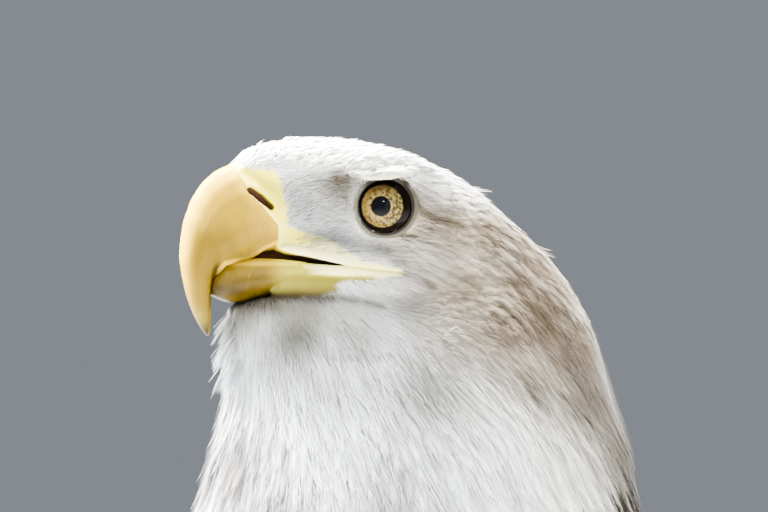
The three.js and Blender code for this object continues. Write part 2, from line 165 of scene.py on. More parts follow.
class Field:
    """Distances to a surface on a regular grid, in millimetres, negative inside."""

    def __init__(self, low, high, step):
        self.step = step
        self.first = np.floor(np.divide(low, step)).astype(int)
        self.shape = tuple(np.ceil(np.divide(high, step)).astype(int) - self.first + 1)
        self.values = np.zeros(self.shape, np.float32)

    def axes(self):
        """The grid's forward, side and up coordinates, ready to broadcast."""
        ranges = [(self.first[i] + np.arange(self.shape[i])) * self.step for i in range(3)]
        return np.ix_(*[r.astype(np.float32) for r in ranges])

    def places(self):
        """Every point of the grid, one to a row."""
        return np.stack(np.broadcast_arrays(*self.axes()), -1).reshape(-1, 3)

    def hold(self, values):
        """Takes new distances."""
        self.values = values.astype(np.float32)
        return self

    def twin(self, values):
        """Other distances on the same grid."""
        return copy.copy(self).hold(values)

    def thicken(self, rods, width):
        """Adds a chain of round rods to both sides, with a fillet."""
        f, s, u = self.axes()
        return self.hold(melt(self.values, capsules(f, np.abs(s), u, rods), width))

    def of_mesh(self, points, triangles, band):
        """Distances to a closed mesh, held at band beyond it."""
        cells = band / self.step
        grid = openvdb.FloatGrid.createLevelSetFromPolygons(
            points.astype(np.float32),
            triangles=triangles.astype(np.uint32),
            transform=openvdb.createLinearTransform(self.step),
            exBandWidth=cells,
            inBandWidth=cells,
        )
        values = np.empty(self.shape, np.float32)
        grid.copyToArray(values, ijk=tuple(int(i) for i in self.first))
        return values

    def surface(self, level=0.0, adaptivity=0.0):
        """The points and polygons where the distance is level."""
        grid = openvdb.FloatGrid(self.step * 3)
        grid.transform = openvdb.createLinearTransform(self.step)
        grid.copyFromArray(np.ascontiguousarray(self.values), ijk=tuple(int(i) for i in self.first))
        points, triangles, quads = grid.convertToPolygons(isovalue=level, adaptivity=adaptivity)
        return points, [quads[:, ::-1].astype(np.int64), triangles[:, ::-1].astype(np.int64)]

    def close_over(self, names, band, closing=0.6):
        """Distances to the union of some solids, with the thin cuts between them filled."""
        start = 3 * self.step
        self.values[:] = start
        for name in names:
            np.minimum(self.values, self.of_mesh(*node_mesh(name), start), out=self.values)
        points, (quads, triangles) = self.surface(closing)
        triangles = np.concatenate([triangles, quads[:, [0, 1, 2]], quads[:, [0, 2, 3]]])
        self.values = self.of_mesh(points, triangles, band) + np.float32(closing)
        return self

    def soften(self, spread):
        """Rounds the shape off, as a Gaussian blur of the distances."""
        reach = int(math.ceil(2.5 * spread / self.step))
        weights = np.exp(-0.5 * (np.arange(-reach, reach + 1) * self.step / spread) ** 2)
        weights = (weights / weights.sum()).astype(np.float32)
        for axis in range(3):
            padding = [(reach, reach) if i == axis else (0, 0) for i in range(3)]
            padded = np.pad(self.values, padding, mode="edge")
            total = np.zeros(self.shape, np.float32)
            for i, weight in enumerate(weights):
                part = [slice(None)] * 3
                part[axis] = slice(i, i + self.shape[axis])
                total += weight * padded[tuple(part)]
            self.values = total
        return self

    def at(self, points):
        """The distance at each point, interpolated."""
        place = np.asarray(points) / self.step - self.first
        limit = np.array(self.shape) - 1.001
        place = np.clip(place, 0, limit)
        cell = place.astype(np.int64)
        share = (place - cell).astype(np.float32)
        strides = np.array([self.shape[1] * self.shape[2], self.shape[2], 1])
        flat = cell @ strides
        values = self.values.reshape(-1)
        total = 0
        for corner in np.ndindex(2, 2, 2):
            weight = 1
            for i in range(3):
                weight = weight * (share[..., i] if corner[i] else 1 - share[..., i])
            total = total + weight * values[flat + np.dot(corner, strides)]
        return total

    def outward(self, points, span=None):
        """The direction away from the surface at each point."""
        span = span or self.step
        slopes = []
        for i in range(3):
            offset = np.zeros(3)
            offset[i] = span
            slopes.append(self.at(points + offset) - self.at(points - offset))
        return unit(np.stack(slopes, -1))

    def onto(self, points, height=0.0, rounds=2):
        """Moves points to a height over the surface."""
        for _ in range(rounds):
            points = points + self.outward(points) * (height - self.at(points))[..., None]
        return points


# ------------------------------------------------------------------ sizes and colours


def length_of(name, description, millimetres):
    return FloatProperty(
        name=name, description=description, default=millimetres / 1000, unit="LENGTH", precision=4
    )


def colour_of(name, description, red, green, blue):
    return FloatVectorProperty(
        name=name,
        description=description,
        default=(red, green, blue),
        subtype="COLOR",
        size=3,
        min=0,
        max=1,
    )


class EagleSizes(bpy.types.PropertyGroup):
    """Sizes that shape the skin, the head and the coat."""

    coat_face: length_of("Face coat", "Depth of the feathers on the face", 0.9)
    coat_crown: length_of("Crown coat", "Depth of the feathers on the crown and cheeks", 3.0)
    coat_neck: length_of("Neck coat", "Depth of the feathers on the neck", 7.0)
    coat_body: length_of("Body coat", "Depth of the feathers on the body", 9.0)
    iris: length_of("Iris radius", "Radius of the iris", 7.0)
    pupil: length_of("Pupil radius", "Radius of the pupil", 3.05)
    opening: length_of("Eye opening", "Radius of the opening between the lids", 8.4)
    camera_distance: FloatProperty(
        name="Camera distance", description="From the eye to the camera", default=2.1, unit="LENGTH"
    )
    picture_width: length_of("Picture width", "Width of the view at the bird's eye", 248)
    camera_turn: FloatProperty(
        name="Camera turn",
        description="How far the camera stands forward of the bird's side",
        default=math.radians(25),
        unit="ROTATION",
    )


class EagleColours(bpy.types.PropertyGroup):
    """Colours of the skin, horn, eyes and feathers, some of them painted shade and highlight."""

    horn: colour_of("Horn", "Body of the bill", 0.30, 0.18, 0.0)
    # Painted highlight along the ridge and cutting edge, and the horn's own paler tone by the cere.
    horn_pale_and_highlight: colour_of("Horn ridge", "Ridge and cutting edge of the bill", 0.66, 0.40, 0.003)
    # Painted shade on the lower parts, hook and tip of the bill.
    horn_dark: colour_of("Horn shade", "Lower and rear parts of the bill", 0.024, 0.014, 0.0)
    cere: colour_of("Cere", "Soft skin at the base of the bill", 0.94, 0.83, 0.03)
    lips: colour_of("Lips", "Edges and corner of the mouth", 0.93, 0.88, 0.38)
    iris: colour_of("Iris", "Middle of the iris", 0.145, 0.098, 0.018)
    lid: colour_of("Eyelid", "Rim of the eyelids", 0.085, 0.088, 0.062)
    white: colour_of("White feathers", "Head, neck and tail", 0.95, 0.935, 0.88)
    # Painted shade: a cooler white for the throat and lower neck, standing for the shade there.
    shadow_white: colour_of("Throat white", "Cooler white of the throat and lower neck", 0.85, 0.90, 0.97)
    beige: colour_of("Cheek beige", "Pale beige of the cheeks", 0.39, 0.32, 0.22)
    wash: colour_of("Wash", "Tan of the nape", 0.145, 0.098, 0.042)
    # The streak colour is also the colour of painted shade under the brow, in the fold under the eye and
    # under the lower bill.
    streak_and_shade: colour_of("Streaks", "Brown streaks behind the eye and on the nape", 0.045, 0.025, 0.010)
    lores: colour_of("Lores", "Grey of the bristles between bill and eye", 0.27, 0.27, 0.26)
    # A dark brown, set darker than the feathers' own brown as painted shade over the body and wings.
    brown: colour_of("Brown feathers", "Body and wings", 0.009, 0.0056, 0.0036)
    fringe: colour_of("Feather edges", "Worn pale edges of the body feathers", 0.026, 0.017, 0.010)
    leg: colour_of("Legs", "Scaled skin of the feet", 0.42, 0.27, 0.012)
    claw: colour_of("Claws", "Horn of the claws", 0.012, 0.011, 0.011)
    floor: colour_of("Floor", "Floor and backdrop", 0.62, 0.63, 0.65)


def sizes():
    return bpy.context.scene.eagle_sizes


def colours():
    return bpy.context.scene.eagle_colours


def mm(length):
    return length * 1000


# ------------------------------------------------------------------ outline, skin and bare places

HEAD_NODES = ["head", "neck", "trunk", "eye_left", "eye_right"]
SIDES = ("left", "right")
HANDS = (("left", 1), ("right", -1))
LIMB_NODES = [f"{part}_{side}" for side in SIDES for part in ("wing", "wing_tip", "thigh", "shank")]
TOES = ("middle", "inner", "outer", "back")
FACE_LOW, FACE_HIGH = (-28, -38, -54), (52, 38, 28)
FACE_NODES = ["head", "neck", "eye_left", "eye_right", "cere", "gape_left", "gape_right"]
BODY_STEP, FACE_STEP, FOOT_STEP, HORN_STEP, STREAK_STEP = 2.0, 0.5, 0.8, 0.4, 0.8
SKIN_GAP, SOLE_GAP = 0.12, 0.05  # how far the skin keeps inside the coat's depth, and off the floor


def line_of(*pairs):
    """A function of height or reach that joins (value, result) pairs with straight lines."""
    xs, ys = zip(*pairs)
    return lambda value: np.interp(value, xs, ys)


# Where bare yellow skin ends behind, at each height; the cere's front edge; and the mouth's course.
bare_edge = line_of(
    (-30.2, 44), (-29.4, 20), (-27.5, 11.5), (-25, 12.5), (-23.9, 9), (-23.4, -1), (-22.8, -7), (-20.2, -8.5),
    (-18.9, -3), (-17.6, 5), (-14.2, 9.6), (-11.6, 12.6), (-9.6, 16.5), (-8.2, 22), (-6.6, 27.2), (0, 27.6),
    (6, 28), (8.4, 28.8), (11.4, 30.5), (12.5, 39.5), (15, 44),
)
cere_front = line_of(
    (-16, 28), (-12, 27.9), (-6, 30.6), (-1.6, 34.8), (3.5, 39.4), (8, 41.4), (12, 43), (15, 43.8)
)
mouth_line = line_of(
    (-9, -21.6), (0, -20.7), (8.5, -19.4), (15, -18.4), (21, -17.4), (28, -16.3), (34, -16.1), (47, -19)
)
mouth_open = line_of((-8, -0.6), (8, -0.5), (11, 0.15), (15, 0.5), (21, 0.9), (28, 1.2), (33, 1.0))
gape_side = line_of((-9, 23.6), (0, 21.4), (8, 18.8), (17, 15.6), (25, 13.2), (36, 10))


def coat_depth(f, s, u):
    """How far the skin lies inside the outline of the feather tips."""
    z = sizes()
    face = ramp(f, -14, 8) * ramp(u, 17, 9)
    crown = mm(z.coat_crown) * (1 - 0.45 * ramp(f, 12, 32))
    head = crown + (mm(z.coat_face) - crown) * face
    neck = ramp(u, -26, -70)
    body = ramp(u, -100, -165)
    depth = head + (mm(z.coat_neck) - head) * neck
    depth = depth + (mm(z.coat_body) - depth) * body
    leg = ramp(u, -560, -600) * ramp(f, -190, -170)
    return depth * (1 - leg)


# Flesh under the tail's root, thinning out below the feathers.
TAIL_ROOT = [(-285, 6, -490, 15), (-312, 8, -524, 10), (-338, 10, -556, 5), (-356, 10, -582, 2)]


def body_outline():
    """Distances to the whole bird's outline, out to the feather tips."""
    outline = Field((-420, -118, -640), (72, 118, 34), BODY_STEP)
    outline.close_over(HEAD_NODES + LIMB_NODES + ["tail"], 15.0)
    return outline.soften(3.2).thicken(TAIL_ROOT, 7.0)


def eye_terms(f, a, u):
    """Distance from the eyeball's centre, and angle from the way the eye looks."""
    v = [f - EYE_CENTRE[0], a - EYE_CENTRE[1], u - EYE_CENTRE[2]]
    away = np.sqrt(v[0] ** 2 + v[1] ** 2 + v[2] ** 2)
    ahead = (v[0] * EYE_AXIS[0] + v[1] * EYE_AXIS[1]) / np.maximum(away, 1e-3)
    return away, np.arccos(np.clip(ahead, -1, 1))


LID_REACH = EYE_RADIUS + 0.75  # from the eyeball's centre to the lids' outside
LID_ANGLE = 1.06  # between the eye's axis and the edge of the lids

# Chains of round rods that model the left half of the face: forward, side, up and radius.
BROW = [(10, 22.2, 10.0, 0.7), (5, 25.6, 9.7, 1.3), (-1, 28.1, 9.9, 1.35), (-5.0, 29.0, 10.4, 0.9),
        (-7.6, 28.8, 11.0, 0.5)]
BROW_ROOT = [(17, 13.6, 12.4, 1.2), (9, 18.4, 12.9, 2.2), (2, 21.8, 13.2, 2.7), (-6, 23.6, 12.8, 2.6),
             (-14, 24.4, 9.8, 2.2), (-22, 25.4, 5, 1.6)]
brow_height = line_of((-9, 11.2), (-5.5, 10.8), (-1, 10.2), (5, 9.9), (10, 10.1))
LIP_ROOT = [(26, 8.0, -12.2, 2.8), (20, 10.2, -13.2, 3.6), (13, 13, -14.8, 3.8), (6, 16.2, -16.4, 3.8),
            (-1, 19.2, -17.8, 3.2)]
JAW_ROOT = [(33, 5.2, -25.2, 1.4), (24, 7.6, -25.4, 3.2), (15, 10.6, -25.8, 4.0), (6, 14.4, -26.2, 4.8),
            (-4, 18.6, -25.8, 4.6), (-12, 21, -25, 3.5)]
EYE_FOLD = [(7, 19.5, -10.6, 0.45), (0, 23, -11.6, 0.9), (-7, 26.2, -11, 0.8), (-14, 28.4, -8.6, 0.45)]
FOREHEAD = [(39.5, 3.4, 11.6, 2.4), (33, 3.5, 12.8, 4.4), (25, 3.5, 13.6, 5.6), (16, 3.5, 14.2, 6.0)]
UPPER_LIP = [(29.5, 10.4, -13.4, 0.5), (26.5, 11.5, -13.9, 1.2), (21.5, 13.2, -14.9, 1.45),
             (16, 15.0, -16.3, 1.35), (10, 17.2, -17.8, 1.2), (4, 19.3, -18.9, 1.1), (-2, 21.2, -19.7, 1.2),
             (-7.2, 22.8, -20.5, 1.15)]
LOWER_LIP = [(30, 9.4, -19.1, 0.9), (22, 12.2, -19.8, 1.5), (15, 14.6, -20.2, 1.65), (10, 16.5, -20.7, 1.65),
             (5, 18.5, -21.2, 1.55), (0, 20.5, -21.8, 1.5), (-4.5, 22, -22.1, 1.4), (-7.2, 22.9, -22.1, 1.15)]
NOSTRIL = [(39.2, 0, 5.2, 0.9), (36.2, 0, 2.6, 1.3), (32.9, 0, -0.3, 1.0)]
MOUTH_LINING = [(6, 0, -20, 5.2), (22, 0, -18.6, 4.6), (36, 0, -18.4, 4.2), (45, 0, -20.6, 2.4)]


def face_field():
    """The face in fine detail: lids, brow, cere, nostrils, lips and the corners of the mouth."""
    face = Field(FACE_LOW, FACE_HIGH, FACE_STEP).close_over(FACE_NODES, 9.0, 0.5)
    face.soften(1.9)
    f, s, u = face.axes()
    a = np.abs(s)
    skin = face.values + coat_depth(f, s, u)
    skin = melt(skin, capsules(f, a, u, FOREHEAD), 3.0)
    away, angle = eye_terms(f, a, u)
    skin = melt(skin, away - LID_REACH, 1.2)
    skin = carve(skin, capsules(f, a, u, EYE_FOLD), 1.0)

    bill = Field(FACE_LOW, FACE_HIGH, FACE_STEP).close_over(["bill_upper", "cere"], 4.0, 0.4).soften(0.8)
    cere = carve(bill.values - 0.3, -(f - cere_front(u)) * 0.8, 0.8)
    skin = melt(skin, cere, 1.4)
    lower = Field(FACE_LOW, FACE_HIGH, FACE_STEP).close_over(["bill_lower"], 4.0, 0.4).soften(0.7)
    skin = melt(skin, np.maximum(lower.values - 0.25, f - 28.5), 1.5)
    # The lips are soft bands above and below the slit, from the cere back to the corner of the mouth.
    for rods, width in ((LIP_ROOT, 4.5), (JAW_ROOT, 4.0), (UPPER_LIP, 1.2), (LOWER_LIP, 1.2)):
        skin = melt(skin, capsules(f, a, u, rods), width)

    groove = np.maximum(np.abs(u - mouth_line(f)) - 0.3, gape_side(f) - 0.6 - a)
    skin = carve(skin, np.maximum(groove, -7.8 - f), 0.5)
    slit = np.abs(u - mouth_line(f)) - mouth_open(f)
    mouth = np.maximum(np.maximum(slit, gape_side(f) - 7.5 - a), -8.8 - f)
    skin = carve(skin, mouth, 0.35)
    skin = np.minimum(skin, capsules(f, s, u, MOUTH_LINING))
    from_eye = (angle - math.asin(mm(sizes().opening) / EYE_RADIUS)) * away
    skin = carve(skin, from_eye, 0.7)
    # The bony brow stands out over the eye like a shelf.
    skin = melt(skin, capsules(f, a, u, BROW_ROOT), 4.0)
    skin = melt(skin, capsules(f, a, u, BROW), 1.6)
    skin = np.maximum(skin, EYE_RADIUS + 0.12 - away)
    skin = carve(skin, np.maximum(capsules(f, 0 * a, u, NOSTRIL), 7.0 - a), 0.45)
    # Near the sides of its block the face fades into the body's own shape.
    body = SHAPES["outline"].at(face.places()).reshape(face.shape) + coat_depth(f, s, u)
    share = ramp(-boxed(face, FACE_LOW, FACE_HIGH), 1.5, 6.5)
    return face.hold(skin * share + body * (1 - share))


def boxed(field, low, high):
    """Distance to a box, on a field's grid."""
    gaps = [np.maximum(low[i] - axis, axis - high[i]) for i, axis in enumerate(field.axes())]
    return np.maximum(np.maximum(gaps[0], gaps[1]), gaps[2])


def foot_field(name, hand):
    """One foot's shank, ball and toes, with rings of broad scales along the top of each toe."""
    middle = 56 * hand
    foot = Field((-172, middle - 62, -656), (8, middle + 62, -556), FOOT_STEP)
    names = [f"toe_{toe}_{name}" for toe in TOES] + [f"shank_{name}"]
    foot.close_over(names, 4.0, 0.4).soften(1.1)
    f, s, u = foot.axes()
    reach = np.sqrt((f + 98) ** 2 + (s - middle) ** 2)
    on_toe = ramp(reach, 12, 20) * ramp(u, -646, -640)
    on_shank = ramp(u, -632, -622) * ramp(f, -112, -104)
    rings = np.abs(np.sin(math.pi * reach / 3.6)) ** 0.5
    bands = np.abs(np.sin(math.pi * u / 4.4)) ** 0.5
    scales = 0.62 * on_toe * (rings - 0.6) + 0.5 * on_shank * (bands - 0.6)
    foot.values -= scales.astype(np.float32) + SOLE_GAP
    return foot.hold(np.maximum(foot.values, -ORIGIN[2] + SOLE_GAP - u))


# ------------------------------------------------------------------ meshes


def paint(mesh, attributes):
    """Stores numbers, vectors or colours at a mesh's points: one, three or four columns."""
    for key, values in attributes.items():
        values = np.asarray(values, np.float32)
        columns = values.size // len(mesh.vertices)
        kinds = {1: ("FLOAT", "value"), 3: ("FLOAT_VECTOR", "vector"), 4: ("FLOAT_COLOR", "color")}
        kind, field = kinds[columns]
        mesh.attributes.new(key, kind, "POINT").data.foreach_set(field, values.ravel())


def build_mesh(name, points, polygons, attributes=None, normals=None):
    """An object from points in bird terms and arrays of polygons, with attributes and its own normals."""
    mesh = bpy.data.meshes.new(name)
    mesh.vertices.add(len(points))
    mesh.vertices.foreach_set("co", to_frame(points).astype(np.float32).ravel())
    polygons = [p for p in polygons if len(p)]
    sizes_of = np.concatenate([np.full(len(p), p.shape[1]) for p in polygons])
    mesh.loops.add(int(sizes_of.sum()))
    mesh.loops.foreach_set("vertex_index", np.concatenate([p.ravel() for p in polygons]).astype(np.int32))
    mesh.polygons.add(len(sizes_of))
    starts = np.concatenate([[0], np.cumsum(sizes_of)[:-1]])
    mesh.polygons.foreach_set("loop_start", starts.astype(np.int32))
    mesh.polygons.foreach_set("loop_total", sizes_of.astype(np.int32))
    mesh.polygons.foreach_set("use_smooth", np.full(len(sizes_of), True))
    mesh.update(calc_edges=True)
    mesh.validate()
    if normals is not None:
        turned = np.stack([normals[:, 1], -normals[:, 0], normals[:, 2]], -1)
        mesh.normals_split_custom_set_from_vertices(turned)
    paint(mesh, attributes or {})
    piece = bpy.data.objects.new(name, mesh)
    bpy.context.scene.collection.objects.link(piece)
    return piece


def settle(piece, material, slot, *nodes):
    """Gives a piece its finish and its place in the part."""
    piece.data.materials.clear()
    piece.data.materials.append(material)
    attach(piece, "root")
    if nodes:
        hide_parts(*nodes)
    return piece


def mesh_points(piece):
    points = np.empty(len(piece.data.vertices) * 3, np.float32)
    piece.data.vertices.foreach_get("co", points)
    return from_frame(points.reshape(-1, 3))


def joined(pieces, name):
    """One object whose solid is the union of several closed ones."""
    first = pieces[0]
    for other in pieces[1:]:
        union = first.modifiers.new("union", "BOOLEAN")
        union.operation = "UNION"
        union.solver = "MANIFOLD"
        union.object = other
    shape = bpy.data.meshes.new_from_object(first.evaluated_get(bpy.context.evaluated_depsgraph_get()))
    for piece in pieces:
        bpy.data.objects.remove(piece)
    shape.name = name
    result = bpy.data.objects.new(name, shape)
    bpy.context.scene.collection.objects.link(result)
    shape.polygons.foreach_set("use_smooth", np.full(len(shape.polygons), True))
    return result


# ------------------------------------------------------------------ finishes


class Value:
    """A shader socket that takes part in arithmetic."""

    def __init__(self, finish, socket):
        self.finish = finish
        self.socket = socket

    def math(self, operation, *values, clamp=False):
        settings = {"operation": operation, "use_clamp": clamp}
        return self.finish.node("ShaderNodeMath", settings, dict(enumerate(values)))

    def __add__(self, other):
        return self.math("ADD", self, other)

    def __sub__(self, other):
        return self.math("SUBTRACT", self, other)

    def __rsub__(self, other):
        return self.math("SUBTRACT", other, self)

    def __mul__(self, other):
        return self.math("MULTIPLY", self, other)

    def sine(self):
        return self.math("SINE", self)

    def clamped(self):
        return self.math("MULTIPLY", self, 1.0, clamp=True)

    __radd__ = __add__


class Finish:
    """A material built from expressions."""

    def __init__(self, name):
        self.material = bpy.data.materials.new(name)
        self.material.use_nodes = True
        self.tree = self.material.node_tree
        self.tree.nodes.clear()

    def node(self, kind, settings=None, inputs=None, output=0):
        """Adds a node: its settings are set first, then its sockets get values or links."""
        made = self.tree.nodes.new(kind)
        for key, value in (settings or {}).items():
            setattr(made, key, value)
        for key, value in (inputs or {}).items():
            if isinstance(value, Value):
                self.tree.links.new(value.socket, made.inputs[key])
            else:
                made.inputs[key].default_value = value
        return Value(self, made.outputs[output])

    def attribute(self, name, output="Fac"):
        return self.node("ShaderNodeAttribute", {"attribute_name": name}, output=output)

    def place(self):
        return self.node("ShaderNodeTexCoord", output="Object")

    def split(self, vector):
        """A vector's first two parts."""
        first = self.node("ShaderNodeSeparateXYZ", None, {"Vector": vector}, "X")
        return first, Value(self, first.socket.node.outputs["Y"])

    def noise(self, scale, detail=3.0, roughness=0.55, where=None):
        inputs = {"Vector": where or self.place(), "Scale": scale, "Detail": detail, "Roughness": roughness}
        return self.node("ShaderNodeTexNoise", None, inputs, "Fac")

    def stretched(self, x, y, z):
        """Object coordinates multiplied along each axis."""
        inputs = {0: self.place(), 1: (x, y, z)}
        return self.node("ShaderNodeVectorMath", {"operation": "MULTIPLY"}, inputs)

    def mix(self, share, a, b, blend="MIX"):
        a, b = [c if isinstance(c, Value) else (*c, 1.0) for c in (a, b)]
        settings = {"data_type": "RGBA", "blend_type": blend}
        return self.node("ShaderNodeMix", settings, {"Factor": share, 6: a, 7: b}, 2)

    def ramp(self, value, low, high):
        """0 below low and 1 above high."""
        inputs = {"Value": value, "From Min": low, "From Max": high}
        return self.node("ShaderNodeMapRange", {"interpolation_type": "SMOOTHSTEP"}, inputs)

    def bump(self, height, distance, strength=1.0):
        inputs = {"Height": height, "Distance": distance, "Strength": strength}
        return self.node("ShaderNodeBump", None, inputs)

    def surface(self, **sockets):
        """Ends the material in one glossy-over-matt surface."""
        names = {key: key.replace("_", " ").title().replace("Ior", "IOR") for key in sockets}
        shader = self.node("ShaderNodeBsdfPrincipled", None, {names[k]: v for k, v in sockets.items()})
        end = self.tree.nodes.new("ShaderNodeOutputMaterial")
        self.tree.links.new(shader.socket, end.inputs["Surface"])
        return self.material


def skin_finish():
    """Bare skin in the tints painted on it, finely pebbled."""
    finish = Finish("skin")
    tint = finish.attribute("tint", "Color")
    wax = finish.attribute("wax")
    blotch = finish.noise(160.0, 4.0)
    colour = finish.mix(blotch * 0.5, tint, (0.30, 0.20, 0.08), "SOFT_LIGHT")
    pebbles = finish.node(
        "ShaderNodeTexVoronoi",
        {"feature": "DISTANCE_TO_EDGE"},
        {"Vector": finish.place(), "Scale": 900.0},
        "Distance",
    )
    fine = finish.noise(1400.0, 3.0)
    height = finish.ramp(pebbles, 0.0, 0.25) * (1 - wax * 0.8) + fine * 0.4
    return finish.surface(
        base_color=colour,
        roughness=0.62 - wax * 0.2,
        normal=finish.bump(height, 0.00022, 0.5),
        specular_ior_level=0.07,
    )


def horn_finish():
    """Yellow bill horn: darker amber below as painted shade, a painted highlight along the ridge and edges,
    paler by the cere, with faint growth lines.
    """
    c = colours()
    finish = Finish("bill_horn")
    pale = finish.attribute("pale")
    worn = finish.noise(220.0, 5.0, 0.65, finish.stretched(1.0, 1.0, 0.28))
    scratch = finish.noise(520.0, 6.0, 0.7, finish.stretched(1.0, 1.6, 0.22))
    cloud = finish.noise(90.0, 2.0)
    # The pale share is a painted highlight on the ridge and edges, and the horn's own paler tone by the cere.
    share = (pale + (worn - 0.5) * 0.35 + (cloud - 0.5) * 0.3).clamped()
    colour = finish.mix(share, c.horn, c.horn_pale_and_highlight)
    shade = finish.attribute("shade")
    colour = finish.mix(finish.attribute("soft"), colour, c.cere)
    # Painted shade, darkest under the bill.
    colour = finish.mix((shade * (0.8 + cloud * 0.4)).clamped(), colour, c.horn_dark)
    colour = finish.mix(finish.ramp(scratch, 0.60, 0.74) * 0.22, colour, (0.72, 0.56, 0.14))
    return finish.surface(
        base_color=colour,
        roughness=0.34 + worn * 0.16,
        normal=finish.bump(worn * 0.6 + scratch * 0.4, 0.00025, 0.35),
        specular_ior_level=0.06,
        coat_weight=0.04,
        coat_roughness=0.18,
    )


def claw_finish():
    finish = Finish("claw_horn")
    worn = finish.noise(300.0, 4.0, 0.6, finish.stretched(1.0, 1.0, 0.4))
    colour = finish.mix(finish.ramp(worn, 0.45, 0.75), colours().claw, (0.05, 0.042, 0.035))
    return finish.surface(
        base_color=colour,
        roughness=0.36 + worn * 0.2,
        normal=finish.bump(worn, 0.0002, 0.3),
        specular_ior_level=0.2,
    )


def eye_finish():
    """A wet eye: black pupil, pale gold iris with dark flecks and painted shade of the brow across its top,
    and a dark ring round it.
    """
    c = colours()
    finish = Finish("eye")
    out = finish.attribute("out")  # 0 at the pupil's middle and 1 at the edge of the iris
    turn = finish.attribute("turn", "Vector")
    back, lift = finish.split(turn)
    flecks = finish.noise(5.0, 7.0, 0.72, turn)
    rays = finish.noise(20.0, 3.0, 0.6, turn)
    gold = finish.mix(finish.ramp(rays, 0.35, 0.65), (0.085, 0.05, 0.010), c.iris)
    gold = finish.mix(finish.ramp(out, 0.45, 0.8), (0.195, 0.14, 0.036), gold)
    gold = finish.mix(finish.ramp(back, -0.3, 0.7) * 0.6, gold, (0.21, 0.17, 0.055))
    gold = finish.mix(finish.ramp(flecks + back * 0.04, 0.48, 0.56) * 0.92, gold, (0.018, 0.010, 0.004))
    # Painted shadow of the brow over the top of the iris.
    gold = finish.mix(finish.ramp(lift, 0.35, 1.0) * 0.75, gold, (0.025, 0.012, 0.004))
    edge = finish.ramp(out, 0.92, 1.01)
    colour = finish.mix(edge, gold, (0.002, 0.0014, 0.001))
    colour = finish.mix(finish.ramp(out, 1.19, 1.24) * 0.4, colour, (0.005, 0.0025, 0.002))
    pupil = mm(sizes().pupil) / mm(sizes().iris)
    colour = finish.mix(finish.ramp(out, pupil - 0.03, pupil + 0.04), (0.002, 0.002, 0.003), colour)
    return finish.surface(
        base_color=colour, roughness=0.5, coat_weight=0.08, coat_roughness=0.02, specular_ior_level=0.0
    )


def feather_finish(name, gloss=0.0, shine=0.22):
    """Feathers in the tint painted on them, with the fine lines of barbs."""
    finish = Finish(name)
    tint = finish.attribute("tint", "Color")
    barb = finish.attribute("barb")
    line = finish.ramp((barb * math.tau).sine(), -0.6, 0.9)
    fine = finish.noise(2600.0, 2.0)
    colour = finish.mix(line * 0.14 + fine * 0.08, tint, (0.0, 0.0, 0.0))
    return finish.surface(
        base_color=colour,
        roughness=0.82 - gloss,
        normal=finish.bump(line, 0.00012, 0.5),
        specular_ior_level=shine,
        sheen_weight=shine * 0.2,
    )


# ------------------------------------------------------------------ the lie of the coat

